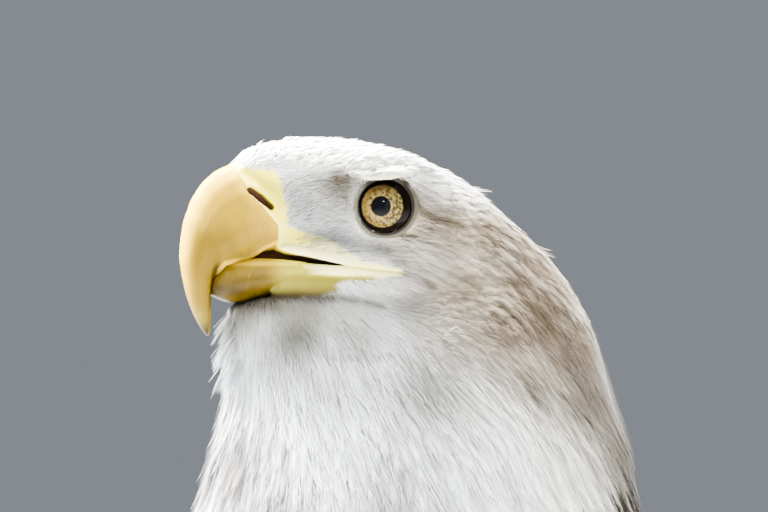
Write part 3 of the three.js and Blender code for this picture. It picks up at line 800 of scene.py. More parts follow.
# Places on the left half with the way feathers lie there, and their length and half width.
LIE = [
    ((42, 0, 15), (-0.8, 0, 0.6), 5, 1.0),
    ((34, 7, 12), (-0.85, 0.3, 0.4), 4, 0.8),
    ((25, 0, 20), (-1, 0, 0.2), 7, 1.6),
    ((5, 0, 22.5), (-1, 0, 0), 9, 2.0),
    ((5, 14, 18), (-1, 0.1, 0), 8, 1.9),
    ((-25, 0, 17), (-0.9, 0, -0.4), 11, 2.4),
    ((-50, 0, 0), (-0.7, 0, -0.7), 15, 3.0),
    ((-72, 0, -20), (-0.45, 0, -0.9), 22, 3.4),
    ((-88, 0, -50), (-0.2, 0, -1), 29, 3.8),
    ((-100, 0, -95), (-0.08, 0, -1), 36, 4.6),
    ((26, 13, 0), (-0.8, 0.3, 0.5), 2.6, 0.5),
    ((16, 14, -6), (-0.9, 0.3, 0.25), 3, 0.5),
    ((12, 16, 6), (-0.85, 0.4, 0.4), 3, 0.5),
    ((4, 24, 12), (-0.97, 0.1, 0.1), 5, 1.0),
    ((-10, 26, 9), (-0.95, 0.1, -0.2), 6, 1.3),
    ((2, 20, -12), (-0.95, 0.3, -0.05), 3.5, 0.7),
    ((-14, 27, -2), (-0.93, 0.15, -0.3), 6, 1.2),
    ((-30, 30, -5), (-0.88, 0.1, -0.45), 10, 1.8),
    ((-50, 27, -20), (-0.7, 0.05, -0.72), 16, 2.5),
    ((-25, 32, -22), (-0.85, 0.1, -0.5), 10, 1.8),
    ((-8, 26, -27), (-0.85, 0.25, -0.5), 7, 1.3),
    ((-50, 38, -42), (-0.5, 0.05, -0.86), 20, 2.9),
    ((38, 2, -33), (-0.05, 0, -1), 9, 1.2),
    ((20, 12, -31), (-0.4, 0.2, -0.9), 9, 1.4),
    ((5, 18, -30), (-0.65, 0.25, -0.7), 9, 1.4),
    ((42, 0, -48), (0, 0, -1), 16, 2.2),
    ((25, 30, -50), (-0.3, 0.15, -0.95), 18, 2.5),
    ((0, 40, -55), (-0.4, 0.12, -0.9), 20, 2.8),
    ((46, 0, -80), (0.05, 0, -1), 26, 3.4),
    ((10, 58, -85), (-0.2, 0.1, -0.97), 28, 3.8),
    ((-45, 55, -85), (-0.22, 0.05, -0.97), 30, 4.0),
    ((52, 0, -120), (0.08, 0, -1), 32, 4.8),
    ((0, 75, -130), (-0.12, 0.12, -1), 36, 5.4),
    ((-70, 62, -120), (-0.15, 0.05, -1), 38, 5.4),
    ((-105, 0, -125), (-0.2, 0, -1), 40, 6),
    ((62, 0, -180), (-0.02, 0, -1), 40, 9),
    ((10, 88, -200), (-0.25, 0.02, -0.97), 42, 10),
    ((50, 0, -270), (-0.35, 0, -0.94), 42, 10),
    ((-20, 0, -355), (-0.8, 0, -0.6), 45, 11),
    ((-80, 60, -340), (-0.65, 0, -0.76), 50, 12),
    ((-180, 0, -415), (-0.8, 0, -0.6), 52, 12),
    ((-120, 0, -155), (-0.35, 0, -0.94), 38, 10),
    ((-180, 0, -235), (-0.55, 0, -0.84), 45, 12),
    ((-240, 0, -310), (-0.55, 0, -0.84), 55, 13),
    ((-285, 0, -370), (-0.5, 0, -0.86), 50, 12),
    ((-250, 0, -470), (-0.5, 0, -0.86), 60, 12),
    ((-20, 95, -340), (-0.15, 0, -0.98), 45, 10),
    ((-70, 90, -440), (-0.2, -0.05, -0.97), 48, 8),
    ((-160, 60, -480), (-0.05, 0, -1), 50, 8),
    ((-90, 45, -550), (-0.1, 0, -1), 36, 6),
    ((-120, 56, -590), (0, 0, -1), 24, 4),
]
LIE_PLACES = np.array([row[0] for row in LIE], np.float32)
LIE_VALUES = np.array([(*row[1], row[2], row[3]) for row in LIE], np.float32)
LIE_BATCH = 50000  # places worked out at a time, to spare memory


def lie_at(points):
    """The way feathers lie at each point, and their length and half width there."""
    left = folded(points).astype(np.float32)
    result = np.empty((len(points), 5), np.float32)
    for start in range(0, len(points), LIE_BATCH):
        part = left[start : start + LIE_BATCH]
        squared = ((part[:, None, :] - LIE_PLACES) ** 2).sum(-1) + 4.0
        weights = squared**-2
        result[start : start + LIE_BATCH] = weights @ LIE_VALUES / weights.sum(1, keepdims=True)
    result[:, 1] *= np.sign(points[:, 1])
    return unit(result[:, :3]), result[:, 3], result[:, 4]


def along_surface(directions, normals):
    return unit(directions - (directions * normals).sum(-1, keepdims=True) * normals)


class Ground(Field):
    """The skin that feathers stand on: fine over the face and coarser elsewhere."""

    def __init__(self, outline, face):
        self.outline, self.face = outline, face
        self.step = 1.0  # the reach over which its slopes are taken

    def at(self, points):
        low, high = np.array(FACE_LOW) + 1.5, np.array(FACE_HIGH) - 1.5
        share = ramp(np.minimum(points - low, high - points).min(-1), 0, 2.5)
        coarse = self.outline.at(points) + coat_depth(*np.moveaxis(points, -1, 0))
        return self.face.at(points) * share + coarse * (1 - share)


def scatter(ground, low, high, spacing, keep, rng, count):
    """Roots spread over the skin inside a box, about spacing apart, where keep allows."""
    points = rng.uniform(low, high, (count, 3))
    points = points[np.abs(ground.at(points)) < 2.5]
    points = ground.onto(points, 0.0, 3)
    points = points[np.abs(ground.at(points)) < 0.3]
    points = points[keep(points)]
    gaps = spacing(points)
    tree = KDTree(len(points))
    for i, point in enumerate(points):
        tree.insert(point, i)
    tree.balance()
    dropped = np.zeros(len(points), bool)
    for i, point in enumerate(points):
        if dropped[i]:
            continue
        for _, j, _ in tree.find_range(point, gaps[i]):
            if j > i:
                dropped[j] = True
    return points[~dropped]


def spines(ground, roots, lengths, rise, steps, rng, stray=0.08):
    """Walks each feather's shaft over the skin; rise gives its height at each share of its length."""
    points = ground.onto(roots, rise(0.0))
    normals = ground.outward(points)
    drift = rng.normal(0, stray, (len(roots), 1))
    path, ups = [points], [normals]
    for step in range(1, steps + 1):
        way = along_surface(lie_at(points)[0], normals)
        side = np.cross(normals, way)
        way = unit(way + side * drift)
        points = points + way * (lengths / steps)[:, None]
        normals = ground.outward(points)
        points = points + normals * (rise(step / steps) - ground.at(points))[:, None]
        path.append(points)
        ups.append(normals)
    return np.stack(path, 1), np.stack(ups, 1)


def along_path(values, share):
    """Values at each share (feathers, places) of a path (feathers, steps, 3)."""
    steps = values.shape[1] - 1
    place = np.clip(share * steps, 0, steps - 1e-4)
    cell = place.astype(int)
    part = (place - cell)[..., None]
    rows = np.arange(len(values))[:, None]
    return values[rows, cell] * (1 - part) + values[rows, cell + 1] * part


class Strips:
    """Many ribbons collected into one mesh, with the attributes and baking map of their feathers."""

    def __init__(self):
        self.points, self.normals, self.quads, self.owners, self.marks = [], [], [], [], []
        self.total = 0

    def add(self, centres, across, ups, owners, along, edge, barb, shade=1.0, rounded=0.3):
        """Ribbons through centres (n, m, 3), with half-width vectors across, normals and owners."""
        n, m = centres.shape[:2]
        points = np.stack([centres - across, centres + across], 2).reshape(-1, 3)
        lean = unit(across) * rounded
        normals = unit(np.stack([ups - lean, ups + lean], 2)).reshape(-1, 3)
        base = np.arange(n)[:, None] * m * 2 + np.arange(m - 1) * 2
        quads = np.stack([base, base + 2, base + 3, base + 1], -1).reshape(-1, 4) + self.total
        fill = lambda values: np.repeat(np.broadcast_to(values, (n, m)).reshape(-1), 2)
        barb = np.tile([0.0, barb], n * m) + np.repeat(np.arange(n) * 0.37, m * 2)
        shade = np.broadcast_to(shade, (n,))[:, None]
        self.points.append(points.astype(np.float32))
        self.normals.append(normals.astype(np.float32))
        self.quads.append(quads)
        self.owners.append(np.repeat(owners, m * 2))
        self.marks.append(np.stack([fill(along), fill(edge), barb, fill(shade)], -1).astype(np.float32))
        self.total += len(points)

    def mirrored(self):
        """The same ribbons on the other side of the bird."""
        other = Strips()
        flip = np.array([1, -1, 1], np.float32)
        other.points, other.normals = [p * flip for p in self.points], [n * flip for n in self.normals]
        other.quads = [q[:, ::-1] for q in self.quads]
        other.owners, other.marks, other.total = self.owners, self.marks, self.total
        return other


BARB_TILT = 0.1  # how far each barb leans out of the vane
BARB_LINES = 3.0  # lines painted along each barb


def feather_strips(strips, path, ups, widths, *, barbs, segments, profile, angles, rng):
    """Adds each feather as a shaft and barbs that run from it to the outline."""
    count = len(path)
    owners = np.arange(count)
    steps = path.shape[1] - 1
    ways = unit(np.gradient(path, axis=1))
    sides = np.cross(ups, ways)
    lengths = np.linalg.norm(np.diff(path, axis=1), axis=-1).sum(1)
    shaft = (lengths * 0.009 + 0.06)[:, None, None] * np.linspace(1, 0.25, steps + 1)[:, None]
    share = np.linspace(0, 1, steps + 1)
    strips.add(path + ups * 0.12, sides * shaft, ups, owners, share, 0.0, 0.0, 0.93, 0.6)
    tau = np.linspace(0, 1, segments + 1)
    for hand in (-1, 1):
        places = (np.arange(barbs) + 0.5) / barbs
        starts = 0.06 + 0.92 * np.clip(places + rng.uniform(-0.3, 0.3, (count, barbs)) / barbs, 0, 1)
        p, n, t, b = (along_path(v, starts) for v in (path, ups, ways, sides))
        b = b * hand
        angle = np.radians(angles[0] + (angles[1] - angles[0]) * starts)
        reach = widths[:, None] * profile(starts) * rng.uniform(0.82, 1.06, (count, barbs))
        ahead = reach / np.tan(angle)
        curve = p[:, :, None] + b[:, :, None] * (reach[..., None] * tau**0.9)[..., None]
        curve = curve + t[:, :, None] * (ahead[..., None] * tau**1.15)[..., None]
        curve = curve - n[:, :, None] * (reach[..., None] ** 2 * tau**2 / 60)[..., None]
        lift = rng.normal(0, 0.022, (count, barbs, 1)) * lengths[:, None, None] ** 0.5 * tau
        curve = curve + n[:, :, None] * lift[..., None]
        pitch = lengths[:, None] * 0.92 / barbs * np.sin(angle)
        width = pitch[..., None] * (0.8 - 0.62 * tau)
        run = unit(np.gradient(curve, axis=2))
        lateral = unit(np.cross(n[:, :, None] + 0 * run, run)) + n[:, :, None] * BARB_TILT * hand
        facing = n[:, :, None] + b[:, :, None] * (0.35 * tau)[:, None]
        facing = facing + rng.normal(0, 0.10, (count, barbs, 1, 3))
        n_all = count * barbs
        strips.add(
            curve.reshape(n_all, segments + 1, 3),
            (unit(lateral) * width[..., None]).reshape(n_all, segments + 1, 3),
            unit(facing).reshape(n_all, segments + 1, 3),
            np.repeat(owners, barbs),
            (starts[..., None] + ahead[..., None] / lengths[:, None, None] * tau).reshape(n_all, -1),
            np.broadcast_to(tau * hand, (n_all, segments + 1)),
            BARB_LINES,
            rng.normal(1.0, 0.05, n_all),
        )


def bristle_strips(strips, path, ups, widths, shade=1.0):
    """Adds each hair-like feather as one thin ribbon."""
    steps = path.shape[1] - 1
    ways = unit(np.gradient(path, axis=1))
    sides = unit(np.cross(ups, ways))
    taper = np.linspace(1, 0.12, steps + 1) ** 0.8
    share = np.linspace(0, 1, steps + 1)
    owners = np.arange(len(path))
    across = sides * widths[:, None, None] * taper[:, None]
    strips.add(path, across, ups, owners, share, 0.0, 0.0, shade, 0.6)


def unwrapped(roots):
    """Each root's place on an unwrap of the skin: round the body, and down it."""
    spine_f = np.interp(roots[:, 2], [-440, -330, -200, -100, 0, 25], [-190, -110, -35, -25, -5, 5])
    turn = np.arctan2(roots[:, 1], roots[:, 0] - spine_f) / math.tau + 0.5
    low, high = roots[:, 2].min(), roots[:, 2].max()
    return np.stack([0.01 + 0.98 * turn, 0.01 + 0.98 * (roots[:, 2] - low) / max(high - low, 1e-6)], -1)


BAKE_PATCH = 0.003  # how wide each feather's place on the baking map is


def feather_piece(name, shape, roots, tint, material, slot, *nodes, normals=None):
    """A piece of the coat; shape holds points, quads, owners and (along, edge, barb, shade) marks."""
    points, quads, owners, marks = shape
    points[:, 2] = np.minimum(points[:, 2], CREST)
    colour = tint(owners, marks[:, 0], marks[:, 3], points, marks[:, 1])
    attributes = {"tint": np.column_stack([colour, np.ones(len(colour))]), "barb": marks[:, 2]}
    piece = build_mesh(name, points, [quads], attributes, normals)
    patch = np.stack([np.clip(marks[:, 0], 0, 1) - 0.5, np.clip(marks[:, 1], -1, 1) / 2], -1)
    uv = (unwrapped(roots)[owners] + BAKE_PATCH * patch).astype(np.float32)
    piece.data.uv_layers.new(name="OFBake").uv.foreach_set("vector", uv[quads.ravel()].ravel())
    return settle(piece, material, slot, *nodes)


def coat_piece(name, strips, roots, tint, material, slot):
    """Turns collected ribbons into a piece."""
    parts = (strips.points, strips.quads, strips.owners, strips.marks)
    shape = [np.concatenate(part) for part in parts]
    return feather_piece(name, shape, roots, tint, material, slot, normals=np.concatenate(strips.normals))


# ------------------------------------------------------------------ markings and painted shade

# Brown washes on the white head and neck: place on the left half, reach and strength.
WASHES = [
    ((-15, 28, -2), 7, 0.75),
    ((-25, 29, -6), 9, 0.60),
    ((-39, 28, -9), 10, 0.70),
    ((-52, 24, -15), 10, 0.70),
    ((-48, 34, -25), 10, 0.80),
    ((-64, 26, -24), 9, 0.70),
    ((-28, 35, -27), 9, 0.55),
    ((-40, 38, -40), 10, 0.65),
    ((-55, 34, -37), 14, 1.00),
    ((-66, 33, -48), 14, 1.00),
    ((-70, 36, -64), 15, 0.85),
    ((-84, 30, -88), 20, 0.75),
    ((-92, 30, -110), 22, 0.70),
    ((-44, 44, -58), 12, 0.50),
    ((-30, 14, 9), 12, 0.15),
    ((-57, 27, -21), 9, 0.85),
    ((-34, 18, 4), 8, 0.22),
    ((46, 10, -88), 14, 0.50),
    ((40, 30, -104), 14, 0.55),
    ((10, 60, -104), 14, 0.35),
]

# Single dark marks: the brown line behind the eye; painted shade under and in front of the brow and in the
# fold under the eye; a mark behind the corner of the mouth; and the dark fringe under the lower bill, partly
# painted shade under it.
MARKS = [
    ((-7.5, 28, 8), (-12, 28, 2.7), 0.75, 0.95),
    ((-12, 28, 2.7), (-18, 29, -3.5), 0.9, 0.95),
    ((-18, 29, -3.5), (-30, 29.5, -5.5), 1.1, 0.85),
    ((-31, 29, -6), (-40, 28, -7), 1.3, 0.95),
    ((-42, 27, -7.5), (-52, 24, -13.5), 1.3, 0.9),
    # Painted shade in the fold under the eye.
    ((0, 24, -11.2), (-6, 26, -12), 0.8, 1.1),
    ((-6, 26, -12), (-12, 28, -10.2), 0.8, 1.1),
    # Painted shade under and in front of the brow.
    ((15, 18, 8.4), (5, 24.5, 8.2), 1.0, 0.85),
    ((5, 24.5, 8.4), (-6, 27.5, 9.2), 0.6, 0.8),
    ((12, 20, 3), (8, 22, -3), 0.6, 0.6),
    ((-8, 23, -22.8), (-17, 29, -27), 0.6, 0.8),
    # The dark fringe under the lower bill, partly painted shade under it.
    ((46, 3, -30.6), (34, 7, -30.2), 1.4, 0.85),
    ((34, 7, -30.2), (22, 11.5, -30.2), 1.5, 0.95),
    ((22, 11.5, -30.2), (12, 16, -31.5), 1.6, 1.0),
    ((12, 16, -31.5), (6, 19.2, -33.2), 1.2, 0.8),
    ((5, 19.8, -33.6), (-1, 22.6, -36), 0.8, 0.7),
]

# Soft spots of their own colour: painted shade in front of and under the brow, a darker spot behind the eye,
# and painted shade on the chin under the bill.
SPOTS = [
    ((0.11, 0.10, 0.085), 0.55, (11, 19, 8), (7, 9, 3.2)),
    ((0.10, 0.085, 0.065), 0.7, (-13, 27, 4), (3.5, 9, 5)),
    ((0.10, 0.08, 0.035), 0.93, (33, 9, -32), (17, 12, 4.8)),
]

# Painted shade on the white coat, under the bill and jaw, on the throat and down the neck, with a few places
# that also deepen the nape's brown washes: place on the left half, reach and the share of light taken away.
SHADE_TONE = np.array([0.97, 1.0, 1.13])  # how strongly each colour is dimmed there
SHADE_AND_WASH_PATCHES = [
    ((40, 3, -37), 12, 0.82),
    ((26, 14, -45), 17, 0.84),
    ((10, 26, -44), 15, 0.70),
    ((24, 20, -38), 15, 0.78),
    ((27, 18, -42), 15, 0.90),
    ((13, 22, -41), 11, 0.80),
    ((20, 30, -62), 14, 0.42),
    ((-5, 45, -62), 20, 0.64),
    ((-29, 38, -42), 17, 0.56),
    ((-55, 34, -37), 10, 0.55),
    ((-38, 33, -20), 9, 0.42),
    ((-62, 40, -62), 20, 0.62),
    ((-80, 34, -84), 26, 0.74),
    ((-2, 23, -12), 7, 0.52),
    ((-10, 32, -37), 12, 0.45),
    ((12, 62, -85), 18, 0.58),
    ((13, 18.5, 5.5), 8, 0.74),
]


def patched(points, patches):
    """The strongest of some soft round patches at each point, from 0 to 1."""
    left = folded(points)
    total = np.zeros(len(points))
    for place, reach, strength in patches:
        away = np.linalg.norm(left - place, axis=1)
        total = np.maximum(total, strength * np.exp(-((away / reach) ** 2)))
    return total


def washed(points):
    """How brown the white coat is at each point, from 0 to 1."""
    return patched(points, WASHES)


white_foot = line_of(
    (-110, -62), (-80, -68), (-66, -76), (-45, -92), (-28, -92), (-10, -95), (0, -97), (50, -120)
)


def is_head(points):
    """Whether a place belongs to the head or the neck."""
    return points[:, 2] > white_foot(points[:, 0])


def is_white(points):
    """Whether a feather rooted here is white: the head and neck, and round the tail's root."""
    rump = (points[:, 0] < -225) & (points[:, 2] < -0.9 * (points[:, 0] + 225) - 300)
    return is_head(points) | (rump & (points[:, 0] < -262)) | ((points[:, 0] < -190) & (points[:, 2] < -425))


def paint_streaks(ground):
    """Brown streaks along the lie of the feathers, and the single marks, some of them painted shade, kept as
    a block of values over the head and neck.
    """
    rng = np.random.default_rng(7)
    low, high = (-112, -84, -126), (56, 84, 26)
    keep = lambda p: (washed(p) > 0.08) & (p[:, 2] > white_foot(p[:, 0]) - 12)
    spacing = lambda p: 4.6 - 2.2 * washed(p)
    seeds = scatter(ground, low, high, spacing, keep, rng, 300000)
    normals = ground.outward(seeds)
    lie, lengths, _ = lie_at(seeds)
    ways = along_surface(lie, normals)
    ways = unit(ways + np.cross(normals, ways) * rng.normal(0, 0.12, (len(seeds), 1)))
    wash = washed(seeds)
    strength = np.clip(wash * 2.8, 0.4, 1.3) * rng.uniform(0.45, 1.0, len(seeds))
    halves = np.clip(lengths * rng.uniform(0.35, 0.6, len(seeds)), 2.2, 7.5)[:, None]
    widths = np.clip(0.42 + lengths * 0.038, 0.42, 1.4) * rng.uniform(0.6, 1.2, len(seeds))
    marks = list(zip(seeds - ways * halves, seeds + ways * halves, widths, strength, normals))
    for tail, tip, width, amount in MARKS:
        for hand in (1, -1):
            ends = ground.onto(np.array([tail, tip]) * [1, hand, 1], 0.5, 4)
            marks.append((*ends, width, amount, ground.outward(ends.mean(0, keepdims=True))[0]))
    block = Field(low, high, STREAK_STEP)
    first = block.first * STREAK_STEP
    for tail, tip, width, amount, normal in marks:
        centre, half = (tail + tip) / 2, np.linalg.norm(tip - tail) / 2
        way = (tip - tail) / (2 * half)
        start = np.maximum(np.floor((centre - half - 5 - first) / STREAK_STEP).astype(int), 0)
        stop = np.minimum(np.ceil((centre + half + 5 - first) / STREAK_STEP).astype(int), block.shape)
        if (stop <= start).any():
            continue
        cells = [np.arange(start[k], stop[k]) * STREAK_STEP for k in range(3)]
        x, y, z = np.ix_(*[first[k] + cells[k] - centre[k] for k in range(3)])
        run = x * way[0] + y * way[1] + z * way[2]
        depth = x * normal[0] + y * normal[1] + z * normal[2]
        off = np.maximum(x * x + y * y + z * z - run * run - 0.94 * depth * depth, 0)
        fade = np.clip(1.5 - 1.5 * np.abs(run / (half + 0.8)) ** 3, 0, 1)
        stain = amount * np.exp(-off / (width * 1.25) ** 2) * fade
        part = block.values[start[0] : stop[0], start[1] : stop[1], start[2] : stop[2]]
        np.maximum(part, stain, out=part)
    return block


def white_coat(points):
    """Colour of the white head and neck at each point, with its washes and streaks, and painted shade."""
    c = colours()
    left = folded(points)
    f, _, u = left.T
    wash = washed(points)
    # Painted shade: the throat and lower neck turn to the cooler shadow white.
    low = ramp(u, -22, -46) * ramp(f, -50, 0)
    colour = blended(np.array(c.white), c.shadow_white, low)
    cheek = ramp(f, 8, -16) * ramp(u, 9, -6) * ramp(u, -75, -40)
    colour = blended(colour, c.beige, np.clip(0.75 * cheek + 0.4 * wash, 0, 0.9))
    colour = blended(colour, c.wash, np.clip(1.15 * wash**1.15, 0, 0.95))
    grey = ramp(f, 0, 10) * ramp(u, 12.5, 7) * ramp(u, -24, -12) * ramp(f, 33, 25)
    colour = blended(colour, c.lores, 0.72 * grey)
    for tone, strength, place, reach in SPOTS:
        colour = blended(colour, tone, strength * np.exp(-(((left - place) / reach) ** 2).sum(1)))
    # Painted shade: the coat is dimmed at the shaded places listed above.
    colour = colour * (1 - patched(points, SHADE_AND_WASH_PATCHES))[:, None] ** SHADE_TONE
    # Streaks and marks, the painted shade among them.
    return blended(colour, c.streak_and_shade, np.clip(SHAPES["streaks"].at(points), 0, 1) * 0.96)


def head_tint(roots, rng, spread=0.08, gaps=0.0):
    """Colours of white feathers, each a little brighter or darker than the next, with painted shade towards
    the root and, for hackles, in the gaps between them.
    """
    bright = np.clip(rng.normal(1, spread, len(roots)), 0.4, 1.3)

    def tint(owners, along, shade, points, edge):
        # Painted shade: each feather darker towards its root.
        colour = white_coat(points) * (bright[owners] * (0.88 + 0.12 * ramp(along, 0.0, 0.4)))[:, None]
        # Painted shade in the gaps between feathers, by their edges.
        colour = colour * (1 - gaps * ramp(np.abs(edge), 0.4, 1.0))[:, None]
        return np.clip(colour * shade[:, None] ** np.array([1.0, 1.12, 1.3]), 0, 1)

    return tint


def hackle_tint(roots, rng):
    """Colours of the neck's long feathers, with painted shade in the gaps between them."""
    return head_tint(roots, rng, 0.12, 0.34)


def body_tint(roots, rng, white=None):
    """Colours of brown feathers with pale worn edges, or white ones round the tail, both darker towards the
    root as painted shade.
    """
    c = colours()
    count = len(roots)
    bright = rng.normal(0, 0.16, count)
    fringe = rng.uniform(0.35, 1.0, count)
    pale = is_white(roots) if white is None else np.full(count, white)
    brown, edge_colour, snow = np.array(c.brown), np.array(c.fringe), np.array(c.white)

    def tint(owners, along, shade, points, edge):
        rim = np.maximum(ramp(np.abs(edge), 0.55, 1.0), ramp(along, 0.82, 1.02)) * fringe[owners]
        # Painted shade: each feather darker towards its root, where the feathers over it lie.
        base = brown * (1 + bright[owners])[:, None] * (0.75 + 0.35 * ramp(along, 0, 0.7))[:, None]
        base = base * (1 - rim)[:, None] + edge_colour * rim[:, None]
        whites = snow * (0.92 + 0.3 * bright[owners])[:, None] * (0.75 + 0.25 * ramp(along, 0, 0.5))[:, None]
        return np.clip(np.where(pale[owners][:, None], whites, base) * shade[:, None], 0, 1)

    return tint


# ------------------------------------------------------------------ operators

SHAPES = {}  # the fields and finishes that later steps stand on
FLOOR_RADIUS, FLOOR_SIDES = 12.0, 64
SENSOR_WIDTH = 36.0
EYE_SIDE, AIM_DROP = 26.0, 16.1  # the eye's place to the side, and how far below it the camera points

# Soft round lamps: place from the eye (towards the camera, forward, up), width, power and colour.
LAMPS = [
    ("key", (-0.38, 0.2, 2.25), 1.0, 1380.0, (1.0, 0.98, 0.95)),
    ("front", (-0.4, 1.4, 1.6), 0.7, 1250.0, (1.0, 0.97, 0.92)),
    ("fill", (1.6, -0.5, 0.0), 1.6, 28.0, (0.90, 0.95, 1.0)),
    ("glint", (1.5, 0.35, 0.5), 0.10, 18.0, (0.85, 0.92, 1.0)),
]


class EAGLE_OT_stage(bpy.types.Operator):
    """Floor, backdrop, soft lights and the camera"""

    bl_idname = "eagle.stage"
    bl_label = "Stage"

    def execute(self, context):
        z, c = sizes(), colours()
        finish = Finish("backdrop")
        fine = finish.noise(30.0, 3.0)
        tone = finish.mix(fine * 0.08, c.floor, (0.5, 0.5, 0.52))
        paper = finish.surface(base_color=tone, roughness=0.9)
        eye, aim = [Vector(to_frame((0.0, EYE_SIDE, up))) for up in (0.0, -AIM_DROP)]
        way = Vector((math.cos(z.camera_turn), -math.sin(z.camera_turn), 0.0))

        turns = [i * math.tau / FLOOR_SIDES for i in range(FLOOR_SIDES)]
        rim = [(FLOOR_RADIUS * math.cos(turn), FLOOR_RADIUS * math.sin(turn), 0.0) for turn in turns]
        mesh = bpy.data.meshes.new("floor")
        mesh.from_pydata(rim, [], [tuple(range(FLOOR_SIDES))])
        mesh.materials.append(paper)
        floor = bpy.data.objects.new("floor", mesh)
        context.scene.collection.objects.link(floor)
        floor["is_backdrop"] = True

        world = bpy.data.worlds.new("studio")
        world.use_nodes = True
        sky = world.node_tree.nodes["Background"].inputs
        sky["Color"].default_value = (0.75, 0.82, 0.92, 1.0)
        sky["Strength"].default_value = 0.32
        context.scene.world = world
        up, across = Vector((0, 0, 1)), Vector((way.y, -way.x, 0.0))
        for name, (nearer, ahead, higher), size, power, tone in LAMPS:
            lamp = bpy.data.lights.new(name, "AREA")
            lamp.shape = "DISK"
            lamp.size, lamp.energy, lamp.color = size, power, tone
            light = bpy.data.objects.new(name, lamp)
            light.location = eye + way * nearer + across * ahead + up * higher
            light.rotation_euler = (eye - light.location).to_track_quat("-Z", "Y").to_euler()
            context.scene.collection.objects.link(light)

        camera = bpy.data.objects.new("camera", bpy.data.cameras.new("camera"))
        camera.data.sensor_width = SENSOR_WIDTH
        camera.data.lens = SENSOR_WIDTH * z.camera_distance / z.picture_width
        camera.location = aim + way * z.camera_distance
        camera.rotation_euler = (-way).to_track_quat("-Z", "Y").to_euler()
        context.scene.collection.objects.link(camera)
        context.scene.camera = camera
        return {"FINISHED"}


# Tones of bare skin, from the jaw up to the cere; the jaw's tones darken downwards as painted shade, and the
# mouth and the hollow under the brow get painted shade too.
JAW_SHADE, JAW_SIDE_SHADE, JAW_EDGE_SHADE = (0.068, 0.054, 0.009), (0.13, 0.10, 0.003), (0.045, 0.038, 0.018)
GAPE_SKIN, MOUTH_SHADE, BROW_SKIN = (0.80, 0.76, 0.36), (0.022, 0.008, 0.004), (0.62, 0.60, 0.40)
BROW_SHADOW, RIM_SKIN = (0.02, 0.016, 0.012), (0.012, 0.01, 0.009)
NOSTRIL_SKIN, CERE_SEAM = (0.045, 0.012, 0.004), (0.72, 0.66, 0.28)


def skin_tints(points):
    """Colours and waxiness of the skin at each point."""
    c = colours()
    f, a, u = folded(points).T
    # The skin under the white coat is a little darker than the coat: painted shade between the feathers.
    under = np.where(is_white(points)[:, None], white_coat(points) * 0.92, np.array(c.brown) * 1.2)
    bare = ramp(f - bare_edge(u), -2.4, 1.8) * ramp(f, -12, -9) * ramp(u, -34, -30)
    lower_lip = ramp(capsules(f, a, u, LOWER_LIP), 0.8, 0.2) * ramp(f, 24, 12)
    lip = np.maximum(ramp(capsules(f, a, u, UPPER_LIP), 0.8, 0.2), lower_lip)
    # The jaw's yellow skin darkens downwards with painted shade, darkest along its lower edge.
    jaw = ramp(u, -20.4, -24.0) * (0.85 + 0.15 * ramp(u, -25, -29))
    yellow = np.array(c.cere)
    for tone, share in (
        (JAW_SHADE, jaw),
        (JAW_SIDE_SHADE, ramp(u, -18.8, -20.6) * ramp(f, 8, 18) * (1 - jaw)),
        (JAW_EDGE_SHADE, ramp(u, -27.6, -29.4)),
        (GAPE_SKIN, ramp(f, 27, 12) * ramp(u, -22, -19)),
        (c.lips, lip),
    ):
        yellow = blended(yellow, tone, share)
    away, angle = eye_terms(f, a, u)
    lid = lid_at(f, a, u)
    edge = brow_edge(f, a, u)
    # Painted shadow under the brow's edge, above the eye.
    brow_shadow = ramp(brow_height(f) - u, -0.8, 0.2) * ramp(u, 5, 7.5) * ramp(a, 29, 26.5)
    brow_shadow = brow_shadow * ramp(f, 14, 7) * ramp(f, -13, -8) * (1 - edge) * ramp(capsules(f, a, u, BROW), 0.0, 0.8)
    # Painted shade inside the mouth's slit and on its lining.
    slit = ramp(np.abs(u - mouth_line(f)) - mouth_open(f), 0.3, 0.0)
    slit = slit * ramp(gape_side(f) - a, -0.4, 0.8) * ramp(f, -9, -7)
    lining = ramp(capsules(f, points[:, 1], u, MOUTH_LINING), 0.7, 0.3) * ramp(f, 8, 12)
    nostril = ramp(capsules(f, 0 * a, u, NOSTRIL), 0.3, -0.1)
    tint = blended(under, yellow, bare)
    for tone, share in (
        (c.lid, lid),
        (BROW_SKIN, edge),
        (BROW_SHADOW, 0.95 * brow_shadow),
        (RIM_SKIN, ramp(away, LID_REACH, EYE_RADIUS + 0.5) * ramp(angle, 1.14, 1.02)),
        (MOUTH_SHADE, np.maximum(slit, lining)),
        (NOSTRIL_SKIN, nostril),
        (CERE_SEAM, 0.6 * ramp(f - cere_front(u), -1.6, -0.3) * ramp(u, -14, -10) * (1 - nostril)),
        (c.leg, ramp(u, -575, -590) * ramp(f, -190, -170)),
    ):
        tint = blended(tint, tone, share)
    return np.column_stack([np.clip(tint, 0, 1), np.ones(len(points))]), np.maximum(bare, lid)


